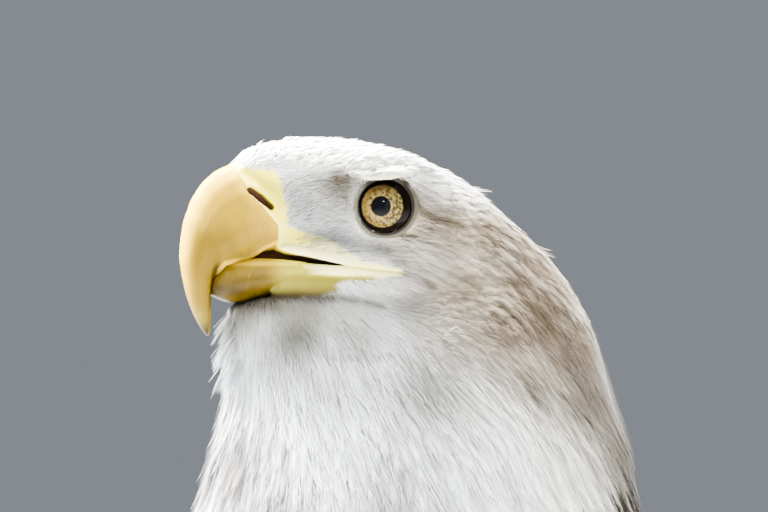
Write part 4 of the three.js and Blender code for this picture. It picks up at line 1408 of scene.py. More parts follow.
class EAGLE_OT_skin(bpy.types.Operator):
    """One skin for the head, neck, trunk, wings, legs and toes, inside the coat"""

    bl_idname = "eagle.skin"
    bl_label = "Skin"

    def execute(self, context):
        outline = SHAPES["outline"] = body_outline()
        face = face_field()
        SHAPES["wing"] = WingPlaces(outline)
        SHAPES["ground"] = Ground(outline, face)
        SHAPES["streaks"] = paint_streaks(SHAPES["ground"])

        # The body is hollowed where the face's finer block goes, and the two overlap by 2 mm.
        low, high = np.array(FACE_LOW), np.array(FACE_HIGH)
        body = outline.twin(outline.values + coat_depth(*outline.axes()) + SKIN_GAP)
        body.hold(np.maximum(body.values, -boxed(body, low + 3.0, high - 3.0)))
        front = face.twin(np.maximum(face.values, boxed(face, low + 1.0, high - 1.0)))
        parts = [
            build_mesh("body_skin", *body.surface(adaptivity=0.15)),
            build_mesh("face_skin", *front.surface(adaptivity=0.02)),
        ]
        parts += [build_mesh("foot_skin", *foot_field(*side).surface(adaptivity=0.05)) for side in HANDS]
        skin = joined(parts, "skin")
        tint, wax = skin_tints(mesh_points(skin))
        paint(skin.data, {"tint": tint, "wax": wax})
        nodes = ["head", "neck", "trunk", "cere"]
        for side in SIDES:
            nodes += [f"{part}_{side}" for part in ("gape", "wing", "thigh", "shank")]
            nodes += [f"toe_{toe}_{side}" for toe in TOES]
        settle(skin, skin_finish(), "leg_skin", *nodes)
        return {"FINISHED"}


# The upper bill's cutting edge, seen from the side, and the rods that build it and the lower bill's rim.
tomium = line_of(
    (27, -11.6), (29.3, -12.2), (32, -13.3), (34.7, -14.8), (36.4, -16.6), (39.3, -17.9), (43.7, -18.5),
    (47.6, -19.4), (49.4, -21.5), (50, -28.7),
)
TOMIUM = [(30, -11.6, 0.7), (32.2, -12.5, 0.8), (34.6, -13.9, 0.9), (36.8, -15.7, 0.95), (39.5, -16.9, 1.0),
          (43.7, -17.5, 1.0), (46.6, -18.2, 1.0), (48.4, -20.4, 1.0)]
LOWER_RIM = [(22, 11.6, -20, 2.0), (30, 9, -19.4, 2.3), (36, 7, -19.2, 2.4), (41, 5.6, -20.1, 2.3),
             (46, 3.4, -22, 2.2), (49.2, 0, -24.8, 1.6)]
LOWER_NOSE = [(38, 0, -27.4, 3.0), (44, 0, -27.2, 3.2), (48, 0, -26.6, 2.6)]


def side_of(field, f, u):
    """How far out to the side a solid's surface is, at one place."""
    s = np.arange(0.0, 16.0, 0.1)
    inside = field.at(np.column_stack([np.full(len(s), f), s, np.full(len(s), u)])) < 0
    return s[inside].max() if inside.any() else 0.0


def smooth_copy(names, step, spread, closing=0.4, grow=0.0):
    """The surface of some solids, finer and rounder."""
    clouds = np.concatenate([node_mesh(name)[0] for name in names])
    field = Field(clouds.min(0) - 3, clouds.max(0) + 3, step)
    field.close_over(names, 4.0, closing).soften(spread)
    field.values -= np.float32(grow)
    return field


class EAGLE_OT_bill(bpy.types.Operator):
    """The horn of the upper and lower bill"""

    bl_idname = "eagle.bill"
    bl_label = "Bill horn"

    def execute(self, context):
        horn = horn_finish()
        upper = smooth_copy(["bill_upper", "cere"], HORN_STEP, 0.7, grow=-0.06)
        f, s, u = upper.axes()
        upper.hold(np.maximum(upper.values, cere_front(u) - 3.2 - f))
        ripple = 0.05 * np.sin(0.9 * (f - 0.55 * u)) * ramp(f, 34, 40)
        rods = [(x, side_of(upper, x, z + 1.8) - r - 0.25, z, r) for x, z, r in TOMIUM]
        upper.thicken(rods, 2.4)
        hole = np.maximum(capsules(f, 0 * s, u, NOSTRIL) - 0.25, 6.8 - np.abs(s))
        upper.hold(carve(upper.values + ripple, hole, 0.5))
        points, faces = upper.surface()
        f, a, u = folded(points).T
        centre = np.interp(u, [-43, -30, -20, -10, 0, 8, 14], [50.5, 54, 55, 52, 46, 40, 34])
        # pale holds a painted highlight on the ridge and cutting edge, and the horn's own paler tone by the
        # cere.
        ridge = ramp(f - centre, 1.5, 6.5) * ramp(a, 7.0, 1.5)
        edge = ramp(u - tomium(f), 2.2, 0.8) * ramp(f, 51.5, 49.5)
        near_cere = ramp(f - cere_front(u), 5.0, 0.3)
        pale = np.clip(0.05 + 0.85 * ridge + 0.45 * edge + 0.4 * near_cere, 0, 1)
        # shade is painted shade: under the bill, on the hook and towards the tip, a little less where the
        # horn is olive.
        olive = ramp(f, 46, 38) * ramp(u, -4, -11) * (1 - 0.7 * near_cere) * (1 - edge)
        hook = 0.9 * ramp(f, 52.5, 49.5) * ramp(u, -17, -23) * ramp(u, -36, -30)
        low = 0.6 * ramp(u, -2, -12) * (1 - ridge) * (1 - edge)
        shade = np.clip(low * (1 - 0.25 * olive) + hook + 0.4 * ramp(u, -31, -42), 0, 1)
        soft = 0.55 * ramp(u, -31, -42)
        piece = build_mesh("bill_upper_horn", points, faces, {"pale": pale, "shade": shade, "soft": soft})
        settle(piece, horn, "horn", "bill_upper")

        lower = smooth_copy(["bill_lower"], HORN_STEP, 0.6).thicken(LOWER_RIM, 2.5).thicken(LOWER_NOSE, 2.0)
        lower.hold(np.maximum(lower.values, 0.1 - upper.at(lower.places()).reshape(lower.shape)))
        points, faces = lower.surface()
        f, u = points[:, 0], points[:, 2]
        # A painted highlight along the top edge, and painted shade that grows downwards.
        pale = 0.6 * ramp(u, -20.6, -18.8)
        shade = (0.72 + 0.16 * ramp(u, -20, -24) + 0.12 * ramp(u, -24, -28)) * ramp(u, -18.3, -19.8)
        shade = shade * (1 - 0.10 * ramp(f, 37, 28) * ramp(u, -27, -23))
        soft = ramp(f, 35, 25) * 0.8
        piece = build_mesh("bill_lower_horn", points, faces, {"pale": pale, "shade": shade, "soft": soft})
        settle(piece, horn, "horn", "bill_lower")
        return {"FINISHED"}


class EAGLE_OT_claws(bpy.types.Operator):
    """The black horn of the eight claws"""

    bl_idname = "eagle.claws"
    bl_label = "Claws"

    def execute(self, context):
        horn = claw_finish()
        for side in SIDES:
            for toe in TOES:
                name = f"claw_{toe}_{side}"
                claw = smooth_copy([name], 0.5, 0.6, closing=0.3, grow=0.1)
                piece = build_mesh(f"{name}_horn", *claw.surface(adaptivity=0.02))
                settle(piece, horn, "claw", name)
        return {"FINISHED"}


def lid_rim(centre, axis):
    """A thin dark ring of skin between the lids and the eyeball."""
    around, section, reach, half = 96, 12, EYE_RADIUS + 0.4, 0.52
    up = np.array([0.0, 0.0, 1.0])
    across = np.cross(up, axis)
    turns = np.arange(around) * math.tau / around
    out = np.outer(np.cos(turns), across) + np.outer(np.sin(turns), up)
    rolls = (np.arange(section) * math.tau / section)[:, None]
    middle = centre + axis * reach * math.cos(LID_ANGLE) + out * reach * math.sin(LID_ANGLE)
    points = middle[:, None] + half * (out[:, None] * np.cos(rolls) + axis * np.sin(rolls))
    ring, roll = np.meshgrid(np.arange(around), np.arange(section), indexing="ij")
    corner = lambda r, s: (ring + r) % around * section + (roll + s) % section
    quads = np.stack([corner(0, 0), corner(1, 0), corner(1, 1), corner(0, 1)], -1).reshape(-1, 4)
    return points.reshape(-1, 3), [quads]


def lid_rim_finish():
    finish = Finish("lid_rim")
    fine = finish.noise(900.0, 3.0)
    colour = finish.mix(fine, (0.007, 0.005, 0.004), (0.020, 0.013, 0.009))
    return finish.surface(base_color=colour, roughness=0.5, specular_ior_level=0.1)


class EAGLE_OT_eyes(bpy.types.Operator):
    """Both eyeballs, with the iris and pupil"""

    bl_idname = "eagle.eyes"
    bl_label = "Eyes"

    def execute(self, context):
        wet = eye_finish()
        dark = lid_rim_finish()
        rings, around = 56, 96
        angles = np.linspace(0, math.pi * 0.72, rings + 1)[1:]
        turns = np.arange(around) * math.tau / around
        iris_angle = math.asin(mm(sizes().iris) / EYE_RADIUS)
        for name, side in HANDS:
            axis = GAZE * [1, side, 1]
            up = np.array([0.0, 0.0, 1.0])
            across = np.cross(up, axis) * side
            out, turn = np.meshgrid(angles, turns, indexing="ij")
            ball = np.cos(out)[..., None] * axis
            ball = ball + (np.sin(out) * np.cos(turn))[..., None] * across
            ball = ball + (np.sin(out) * np.sin(turn))[..., None] * up
            centre = EYE_CENTRE * [1, side, 1]
            front, rear = centre + axis * EYE_RADIUS, centre - axis * EYE_RADIUS * 0.62
            points = np.concatenate([[front], (centre + ball * EYE_RADIUS).reshape(-1, 3), [rear]])
            ring = np.arange(around)
            after = (ring + 1) % around
            fan = np.stack([np.zeros(around, int), 1 + ring, 1 + after], -1)
            inner = [1 + r * around for r in range(rings)]
            quads = [
                np.stack([near + ring, far + ring, far + after, near + after], -1)
                for near, far in zip(inner, inner[1:])
            ]
            last = inner[-1]
            close = np.stack([last + after, last + ring, np.full(around, len(points) - 1)], -1)
            faces = [np.concatenate(quads), np.concatenate([fan, close])]
            if side > 0:
                faces = [face[:, ::-1] for face in faces]
            share = np.concatenate([[0.0], np.repeat(angles, around), [math.pi]]) / iris_angle
            spin = np.concatenate([[0.0], np.tile(turns, rings), [0.0]])
            vector = np.stack([np.cos(spin) * share, np.sin(spin) * share, np.zeros(len(share))], -1)
            piece = build_mesh(f"eyeball_{name}", points, faces, {"out": share, "turn": vector})
            settle(piece, wet, "eye", f"eye_{name}")
            rim = lid_rim(centre, EYE_AXIS * [1, side, 1])
            settle(build_mesh(f"lid_rim_{name}", *rim), dark, "head_feathers", "head")
        return {"FINISHED"}


def lid_at(f, a, u, grow=0.0):
    """1 on the lids: a narrow band round the opening, a little wider by grow."""
    away, angle = eye_terms(f, a, u)
    close = ramp(away, EYE_RADIUS + 2.4 + grow, EYE_RADIUS + 1.4 + grow)
    close = close * ramp(angle, 1.26 + 0.3 * grow, 1.18 + 0.3 * grow)
    ahead = ramp(away * np.sin(angle), 10.9 + grow, 10.2 + grow) * ramp(u, 7.5, 5.5) * ramp(away, 18, 16)
    return np.maximum(close, ahead * ramp(angle, 1.5, 1.4))


def brow_edge(f, a, u):
    """1 on the bare edge of the brow."""
    low = ramp(u - brow_height(f), 0.15, -0.35) * ramp(f, 10.5, 6.5)
    return ramp(capsules(f, a, u, BROW), 0.45, 0.1) * low


def bare_at(points):
    """1 on bare skin: the cere, the corners of the mouth, the lids and the brow's edge."""
    f, a, u = folded(points).T
    bare = ramp(f - bare_edge(u), -1.0, 1.6) * ramp(f, -11, -9) * ramp(u, -33, -31)
    return np.maximum(np.maximum(bare, lid_at(f, a, u, 0.4)), brow_edge(f, a, u))


def clear_of_face(points):
    """Whether there is room for whole feathers: away from the eye and from bare skin."""
    away, _ = eye_terms(*folded(points).T)
    return (away > EYE_RADIUS + 6.0) & (bare_at(points) < 0.3)


def skin_roots(ground, low, high, wanted, rng, tries, most):
    """Roots spread at random over the skin in a box, more of them where wanted is near 1."""
    points = rng.uniform(low, high, (tries, 3))
    points = points[np.abs(ground.at(points)) < 1.2]
    points = ground.onto(points, 0.0, 2)
    roots = points[rng.uniform(0, 1, len(points)) < wanted(points)]
    return roots[:most]


def ribbon_pieces(name, roots, rng, slot, tint_of, *, lengths, widths, foot, top, steps, stray, shade):
    """Lays thin ribbons over the skin and makes a piece of each side."""
    ground = SHAPES["ground"]
    for side, hand in HANDS:
        mine = np.where(np.sign(roots[:, 1] + 1e-6) == hand)[0]
        places = roots[mine]
        lift = top[mine] - foot[mine]
        rise = lambda share: foot[mine] + lift * share**0.75
        path, ups = spines(ground, places, lengths[mine], rise, steps, rng, stray)
        strips = Strips()
        bristle_strips(strips, path, ups, widths[mine], shade[mine])
        coat_piece(f"{name}_{side}", strips, places, tint_of(places, rng), SHAPES["white_finish"], slot)


class EAGLE_OT_face_bristles(bpy.types.Operator):
    """Fine bristle-like feathers on the lores, round the eyes and on the chin"""

    bl_idname = "eagle.face_bristles"
    bl_label = "Face bristles"

    def execute(self, context):
        rng = np.random.default_rng(11)

        def wanted(points):
            f, a, u = folded(points).T
            away, _ = eye_terms(f, a, u)
            fine = ramp(f, -10, 4) * ramp(u, 17, 11) * ramp(u, -36, -28)
            fine = np.maximum(fine, ramp(away, 20, 13))
            fine = np.maximum(fine, ramp(f, 32, 38) * ramp(u, 6, 9)) * ramp(f, 45, 43)
            bare = bare_at(points)
            gape = ramp(f, 27, 22) * ramp(f, -9, -4) * ramp(u, -7, -9) * ramp(u - mouth_line(f), 2.6, 3.4)
            return np.maximum(fine * (1 - bare), 0.10 * gape * bare)

        roots = skin_roots(SHAPES["ground"], FACE_LOW, FACE_HIGH, wanted, rng, 900000, 35000)
        count = len(roots)
        flecked = rng.uniform(0, 1, count) < 0.18
        dark, light = rng.uniform(0.15, 0.5, count), rng.normal(1.05, 0.2, count)
        shade = np.where(flecked, dark, np.clip(light, 0.6, 1.5))
        away, _ = eye_terms(*folded(roots).T)
        ahead = ramp(roots[:, 0], -8, -4) * ramp(away, 17, 13.5)
        lengths = lie_at(roots)[1] * rng.uniform(0.7, 1.25, count) * (1 - 0.9 * ahead)
        ribbon_pieces(
            "face_bristles", roots, rng, "head_feathers", head_tint, lengths=lengths,
            widths=rng.uniform(0.08, 0.15, count), foot=np.full(count, 0.0),
            top=rng.uniform(0.25, 1.0, count), steps=3, stray=0.25, shade=shade,
        )
        return {"FINISHED"}


# Tufts that stand off the outline: root on the left half or the middle line, way, length and number.
TUFTS = [
    ((45, 2.5, -36), (0.50, 0, -0.86), 7, 6),
    ((45, 2.5, -42), (0.42, 0, -0.90), 9, 7),
    ((45.5, 3, -49), (0.35, 0, -0.93), 10, 6),
    ((-39.5, 2.5, 5.8), (-0.95, 0, -0.30), 6, 5),
    ((-64, 2.5, -13.5), (-0.93, 0, -0.36), 7, 6),
    ((23.5, 3, 19), (-0.93, 0, 0.32), 4, 4),
    ((34, 3, 15.5), (-0.93, 0, 0.30), 3.5, 4),
]


class EAGLE_OT_tufts(bpy.types.Operator):
    """Tufts that stand off the crown, nape and chin, and the bristles of the chin"""

    bl_idname = "eagle.tufts"
    bl_label = "Tufts"

    def execute(self, context):
        rng = np.random.default_rng(19)
        ground = SHAPES["ground"]
        roots, ways, lengths, widths = [], [], [], []
        for place, way, length, count in TUFTS:
            spread = rng.normal(0, 1, (2 * count, 3)) * [1.4, 1.6, 1.0]
            spread[count:, 1] -= 2 * place[1]
            roots.append(place + spread)
            ways.append(unit(np.array(way) + rng.normal(0, 0.10, (2 * count, 3))))
            lengths.append(length * rng.uniform(0.7, 1.2, 2 * count))
            widths.append(np.full(2 * count, 0.6 + 0.17 * length))
        roots, ways, lengths, widths = map(np.concatenate, (roots, ways, lengths, widths))
        roots = ground.onto(roots, 0.3, 3)
        share = np.linspace(0, 1, 5)[:, None]
        normals = ground.outward(roots)
        path = roots[:, None] + ways[:, None] * lengths[:, None, None] * share
        path = path + normals[:, None] * (coat_depth(*roots.T) * 0.8)[:, None, None] * share**0.5
        strips = Strips()
        feather_strips(
            strips, path, np.broadcast_to(normals[:, None], path.shape), widths, barbs=22, segments=2,
            profile=lance, angles=(22, 8), rng=rng,
        )
        coat_piece("tufts", strips, roots, head_tint(roots, rng), SHAPES["white_finish"], "head_feathers")
        count = 90
        spread = ((42, 48), (-5, 5), (-46, -31))
        roots = ground.onto(np.column_stack([rng.uniform(*span, count) for span in spread]), 0.0, 3)
        ways = unit(np.array([0.75, 0, -0.62]) + rng.normal(0, 0.16, (count, 3)))
        reach = rng.uniform(5, 9, count)[:, None, None] * share
        path = roots[:, None] + ways[:, None] * reach
        path[..., 2] -= (reach[..., 0] ** 2) * 0.03
        strips = Strips()
        ups = np.broadcast_to(ground.outward(roots)[:, None], path.shape)
        bristle_strips(strips, path, ups, np.full(count, 0.09))
        tint = head_tint(roots, rng)
        coat_piece("chin_bristles", strips, roots, tint, SHAPES["white_finish"], "head_feathers")
        return {"FINISHED"}


class EAGLE_OT_fine_barbs(bpy.types.Operator):
    """Loose hair-like barbs that soften the feathers of the head and neck"""

    bl_idname = "eagle.fine_barbs"
    bl_label = "Fine barbs"

    def execute(self, context):
        rng = np.random.default_rng(15)
        ground = SHAPES["ground"]

        def on_head(points):
            f, _, u = points.T
            clear = clear_of_face(points) & (f < 43)
            return clear * ramp(u, -54, -44) * (1 - 0.7 * ramp(f, 0, 8) * ramp(u, 12, 8) * ramp(u, -28, -24))

        on_neck = lambda p: ramp(p[:, 2], -40, -50) * (p[:, 2] > white_foot(p[:, 0]) - 2)
        for part, low, high, wanted, tries, most, steps, thin in (
            ("head", (-95, -50, -56), (46, 50, 26), on_head, 760000, 33000, 3, (0.09, 0.15)),
            ("neck", (-115, -85, -126), (66, 85, -40), on_neck, 640000, 23000, 4, (0.12, 0.22)),
        ):
            roots = skin_roots(ground, low, high, wanted, rng, tries, most)
            count = len(roots)
            depth = coat_depth(*roots.T)
            lengths = lie_at(roots)[1] * rng.uniform(0.5, 1.0, count)
            away, _ = eye_terms(*folded(roots).T)
            lengths = lengths * (1 - 0.85 * ramp(roots[:, 0], -9, -4) * ramp(away, 19, 15))
            widths = rng.uniform(*thin, count)
            shade = np.clip(rng.normal(1.0, 0.10, count), 0.7, 1.25)
            shafts = rng.uniform(0, 1, count) < 0.04
            shade[shafts] = rng.uniform(0.2, 0.5, shafts.sum())
            lengths[shafts] *= 1.5
            widths[shafts] *= 0.6
            ribbon_pieces(
                f"{part}_barbs", roots, rng, f"{part}_feathers", head_tint, lengths=lengths, widths=widths,
                foot=depth * rng.uniform(0.2, 0.6, count), top=depth * rng.uniform(0.7, 1.02, count),
                steps=steps, stray=0.16, shade=shade,
            )
        # Bare brown shafts that show as long fine lines on the neck and throat.
        streaky = lambda p: ramp(p[:, 2], -33, -40) * (0.6 + 0.4 * ramp(p[:, 0], 30, -10)) * (p[:, 2] > -112)
        roots = skin_roots(ground, (-100, -80, -112), (60, 80, -34), streaky, rng, 120000, 1000)
        count = len(roots)
        depth = coat_depth(*roots.T)
        shade = rng.uniform(0.16, 0.45, count)
        ribbon_pieces(
            "neck_shafts", roots, rng, "neck_feathers", head_tint, lengths=rng.uniform(9, 30, count),
            widths=rng.uniform(0.08, 0.17, count), foot=depth * 0.8,
            top=depth * rng.uniform(0.96, 1.05, count), steps=8, stray=0.12, shade=shade,
        )
        return {"FINISHED"}


def oval(share):
    """Outline of a rounded feather."""
    return np.sqrt(np.clip(1 - np.abs(share * 1.9 - 0.95) ** 2.6, 0.02, 1)) * (1 - 0.35 * share)


def lance(share):
    """Outline of a pointed hackle."""
    return np.clip(0.35 + 1.3 * share, 0, 1) * np.clip(1.12 - share, 0, 1) ** 0.75


def feather_pieces(name, roots, rng, finish, tint_of, slot, *, height, steps, stray, **vane):
    """Lays feathers over the skin and makes a piece of each side."""
    ground = SHAPES["ground"]
    for side, hand in HANDS:
        mine = roots[np.sign(roots[:, 1] + 1e-6) == hand]
        _, lengths, widths = lie_at(mine)
        lengths = lengths * rng.uniform(0.85, 1.15, len(mine))
        lift = height(mine) * rng.uniform(0.75, 1.05, len(mine))
        path, ups = spines(ground, mine, lengths, lambda share: 0.2 + lift * share**0.75, steps, rng, stray)
        strips = Strips()
        feather_strips(strips, path, ups, widths * rng.uniform(0.85, 1.15, len(mine)), rng=rng, **vane)
        coat_piece(f"{name}_{side}", strips, mine, tint_of(mine, rng), finish, slot)


class EAGLE_OT_head_feathers(bpy.types.Operator):
    """Small feathers of the crown, cheeks and chin"""

    bl_idname = "eagle.head_feathers"
    bl_label = "Head feathers"

    def execute(self, context):
        rng = np.random.default_rng(21)
        ground = SHAPES["ground"]

        def keep(points):
            f, _, u = points.T
            face = ramp(f, -6, 6) * ramp(u, 14, 9) * ramp(u, -30, -25)
            return clear_of_face(points) & (face < 0.6) & (u > -46) & (f < 42)

        spacing = lambda points: 0.62 * lie_at(points)[2] + 0.35
        roots = scatter(ground, (-95, -50, -48), (46, 50, 26), spacing, keep, rng, 700000)
        feather_pieces(
            "head_feathers", roots, rng, SHAPES["white_finish"], head_tint, "head_feathers",
            height=lambda p: np.clip(coat_depth(*p.T) * 0.85, 0.6, 6), steps=4, stray=0.10, barbs=9,
            segments=2, profile=oval, angles=(42, 16),
        )
        return {"FINISHED"}


class EAGLE_OT_neck_feathers(bpy.types.Operator):
    """Long pointed hackles of the neck, nape and throat"""

    bl_idname = "eagle.neck_feathers"
    bl_label = "Neck hackles"

    def execute(self, context):
        rng = np.random.default_rng(31)
        ground = SHAPES["ground"]
        for index, (high, low) in enumerate(((-42, -80), (-80, -128))):
            keep = lambda p: (p[:, 2] <= high) & (p[:, 2] > low) & is_head(p)
            spacing = lambda points: 0.62 * lie_at(points)[2] + 0.5
            roots = scatter(ground, (-115, -85, low), (66, 85, high), spacing, keep, rng, 160000)
            feather_pieces(
                f"neck_hackles_{index + 1}", roots, rng, SHAPES["white_finish"], hackle_tint, "neck_feathers",
                height=lambda p: coat_depth(*p.T) * (0.85 + 0.4 * ramp(p[:, 0], 30, 50)), steps=6, stray=0.10,
                barbs=13, segments=3, profile=lance, angles=(30, 9),
            )
        return {"FINISHED"}


class EAGLE_OT_body_feathers(bpy.types.Operator):
    """Brown feathers of the breast, belly, back and thighs, and white ones round the tail"""

    bl_idname = "eagle.body_feathers"
    bl_label = "Body feathers"

    def execute(self, context):
        rng = np.random.default_rng(41)
        ground = SHAPES["ground"]
        wing = SHAPES["wing"]
        for part, low, high, barbs, chosen in (
            ("breast", (-60, -100, -420), (72, 100, -95), 12, lambda p: p[:, 0] > back_line(p)),
            ("back", (-320, -80, -520), (20, 80, -74), 12, lambda p: p[:, 0] <= back_line(p)),
            ("thigh", (-175, -110, -596), (0, 110, -330), 10, lambda p: p[:, 2] < -330),
        ):
            thigh = part == "thigh"

            def keep(points):
                bare = (wing.inside(points) < 0.5) | (np.abs(ground.outward(points)[:, 1]) < 0.55)
                inside = chosen(points) & ~is_head(points) & bare
                return inside & (on_thigh(points) == thigh)

            spacing = lambda points: 0.6 * lie_at(points)[2] + 1.0
            roots = scatter(ground, low, high, spacing, keep, rng, 260000)
            feather_pieces(
                f"{part}_feathers", roots, rng, SHAPES["brown_finish"], body_tint,
                "thigh_feathers" if thigh else "body_feathers",
                height=lambda p: np.maximum(coat_depth(*p.T), 2.0) * 0.9, steps=5, stray=0.08, barbs=barbs,
                segments=2, profile=oval, angles=(48, 18),
            )
        return {"FINISHED"}


def back_line(points):
    """The forward place that parts breast from back at each height."""
    return np.interp(points[:, 2], [-420, -330, -200, -95], [-170, -110, -50, -30])


def on_thigh(points):
    """Whether a place belongs to a thigh."""
    f, _, u = points.T
    return (u < -335) & (f > -178) & (u < -300 - 0.55 * np.abs(f + 60))


# ------------------------------------------------------------------ wings and tail


class WingPlaces:
    """Places on the left folded wing: along it from the wrist, and across it towards the back."""

    WRIST = np.array([-22.0, -158.0])
    ALONG = unit(np.array([-0.70, -0.715]))
    ACROSS = np.array([ALONG[1], -ALONG[0]])

    def __init__(self, outline):
        self.outline = outline
        points = np.concatenate([node_mesh("wing_left")[0], node_mesh("wing_tip_left")[0]])
        along, across = self.terms(points)
        self.end = along.max()
        stops = np.arange(along.min(), self.end + 12, 12)
        low, high = [], []
        for stop in stops:
            near = across[np.abs(along - stop) < 22]
            low.append(near.min() if len(near) else np.nan)
            high.append(near.max() if len(near) else np.nan)
        self.stops = stops
        self.low, self.high = np.array(low), np.array(high)

    def terms(self, points):
        flat = points[:, [0, 2]] - self.WRIST
        return flat @ self.ALONG, flat @ self.ACROSS

    def limits(self, along):
        return np.interp(along, self.stops, self.low), np.interp(along, self.stops, self.high)

    def at(self, along, across):
        """Points on the outside of the left wing."""
        flat = self.WRIST + np.outer(along, self.ALONG) + np.outer(across, self.ACROSS)
        points = np.column_stack([flat[:, 0], np.full(len(flat), 112.0), flat[:, 1]])
        for _ in range(40):
            points[:, 1] -= np.clip(self.outline.at(points), -2, 12) * 0.8
        return points

    def inside(self, points):
        """1 where a point lies under the wing."""
        along, across = self.terms(points)
        low, high = self.limits(along)
        covered = ramp(across - low, -2, 3) * ramp(high - across, -2, 3) * ramp(along, 0, 6)
        return covered * ramp(np.abs(points[:, 1]), 18, 26)


VANE_COLUMNS = 9
BARB_PITCH = 1.1  # between the barb lines of a whole vane
BARB_SLANT = 0.9  # how far the barb lines run forward as they run out


def vane_mesh(path, ups, width, profile, camber=0.04, lean=0.0):
    """Whole vanes as grids: points, quads, owners and (along, edge, barb, shade) marks."""
    count, rows = path.shape[:2]
    columns = VANE_COLUMNS
    ways = unit(np.gradient(path, axis=1))
    sides = np.cross(ups, ways)
    share = np.linspace(0, 1, rows)
    across = np.linspace(-1, 1, columns)
    half = np.full((count, 1), width) * profile(share)
    skew = 1 + lean * np.sign(across)
    offset = half[..., None] * across * skew
    points = path[:, :, None] + sides[:, :, None] * offset[..., None]
    points = points - ups[:, :, None] * (camber * offset**2 / width)[..., None]
    length = np.linalg.norm(np.diff(path, axis=1), axis=-1).sum(1)
    sweep = BARB_SLANT * np.abs(offset)
    back = np.minimum(sweep * 0.35, (share * length[:, None])[..., None] * 0.2)
    points = points - ways[:, :, None] * (back * ramp(share, 0.75, 1)[None, :, None])[..., None]
    barb = (share * length[:, None])[..., None] / BARB_PITCH - sweep / BARB_PITCH
    base = np.arange(count)[:, None, None] * rows * columns
    base = base + np.arange(rows - 1)[:, None] * columns + np.arange(columns - 1)
    quads = np.stack([base, base + 1, base + columns + 1, base + columns], -1).reshape(-1, 4)
    fill = lambda v: np.broadcast_to(v, (count, rows, columns)).reshape(-1)
    owners = fill(np.arange(count)[:, None, None])
    marks = np.stack([fill(share[:, None]), fill(across), fill(barb), fill(1.0)], -1)
    return points.reshape(-1, 3), quads, owners, marks


def joined_vanes(*parts):
    """Several sets of vanes as one."""
    points, quads, owners, marks = map(list, zip(*parts))
    for i in range(1, len(parts)):
        quads[i] = quads[i] + sum(map(len, points[:i]))
        owners[i] = owners[i] + owners[i - 1].max() + 1
    return [np.concatenate(group) for group in (points, quads, owners, marks)]


def quill(share):
    """Outline of a flight feather: nearly parallel, with a rounded end."""
    end = np.clip((share - 0.86) / 0.145, 0, 1)
    return np.clip(0.45 + 1.6 * share, 0, 1) * np.sqrt(np.clip(1 - end**2, 0.02, 1))


def primary(share):
    """Outline of a long wing-tip feather, narrowing to its end."""
    return np.clip(0.5 + 1.5 * share, 0, 1) * np.clip(1.02 - share, 0, 1) ** 0.42


def straight_path(surface, starts, ways, lengths, rise, steps):
    """Shafts that run straight over a field, held at a height by rise(share)."""
    points = surface.onto(starts, rise(0.0), 2)
    path, ups = [points], [surface.outward(points, 3.0)]
    for step in range(1, steps + 1):
        points = points + ways * (lengths / steps)[:, None]
        normal = surface.outward(points, 3.0)
        points = points + normal * (rise(step / steps) - surface.at(points))[:, None]
        path.append(points)
        ups.append(normal)
    ups = np.stack(ups, 1)
    for _ in range(2):
        ups[:, 1:-1] = unit(ups[:, :-2] + 2 * ups[:, 1:-1] + ups[:, 2:])
    return np.stack(path, 1), ups


def quill_path(surface, starts, ends, lift, steps):
    """Long smooth shafts: a gentle bow from start to end, fitted to the surface at a few places."""
    shares = np.array([0.0, 0.3, 0.6, 0.9])
    places = starts[:, None] + (ends - starts)[:, None] * shares[:, None]
    flat = places.reshape(-1, 3)
    normals = surface.outward(flat, 6.0).reshape(places.shape).mean(1)
    normals = unit(normals * [0.3, 1, 0.3])
    depth = surface.at(flat).reshape(places.shape[:2])
    gap = lift[:, None] - depth
    basis = np.stack([np.ones(4), shares, shares**2], 1)
    bow = gap @ np.linalg.pinv(basis).T
    line = np.linspace(0, 1, steps + 1)
    raised = bow @ np.stack([np.ones(steps + 1), line, line**2])
    path = starts[:, None] + (ends - starts)[:, None] * line[:, None] + normals[:, None] * raised[..., None]
    return path, np.broadcast_to(normals[:, None], path.shape)


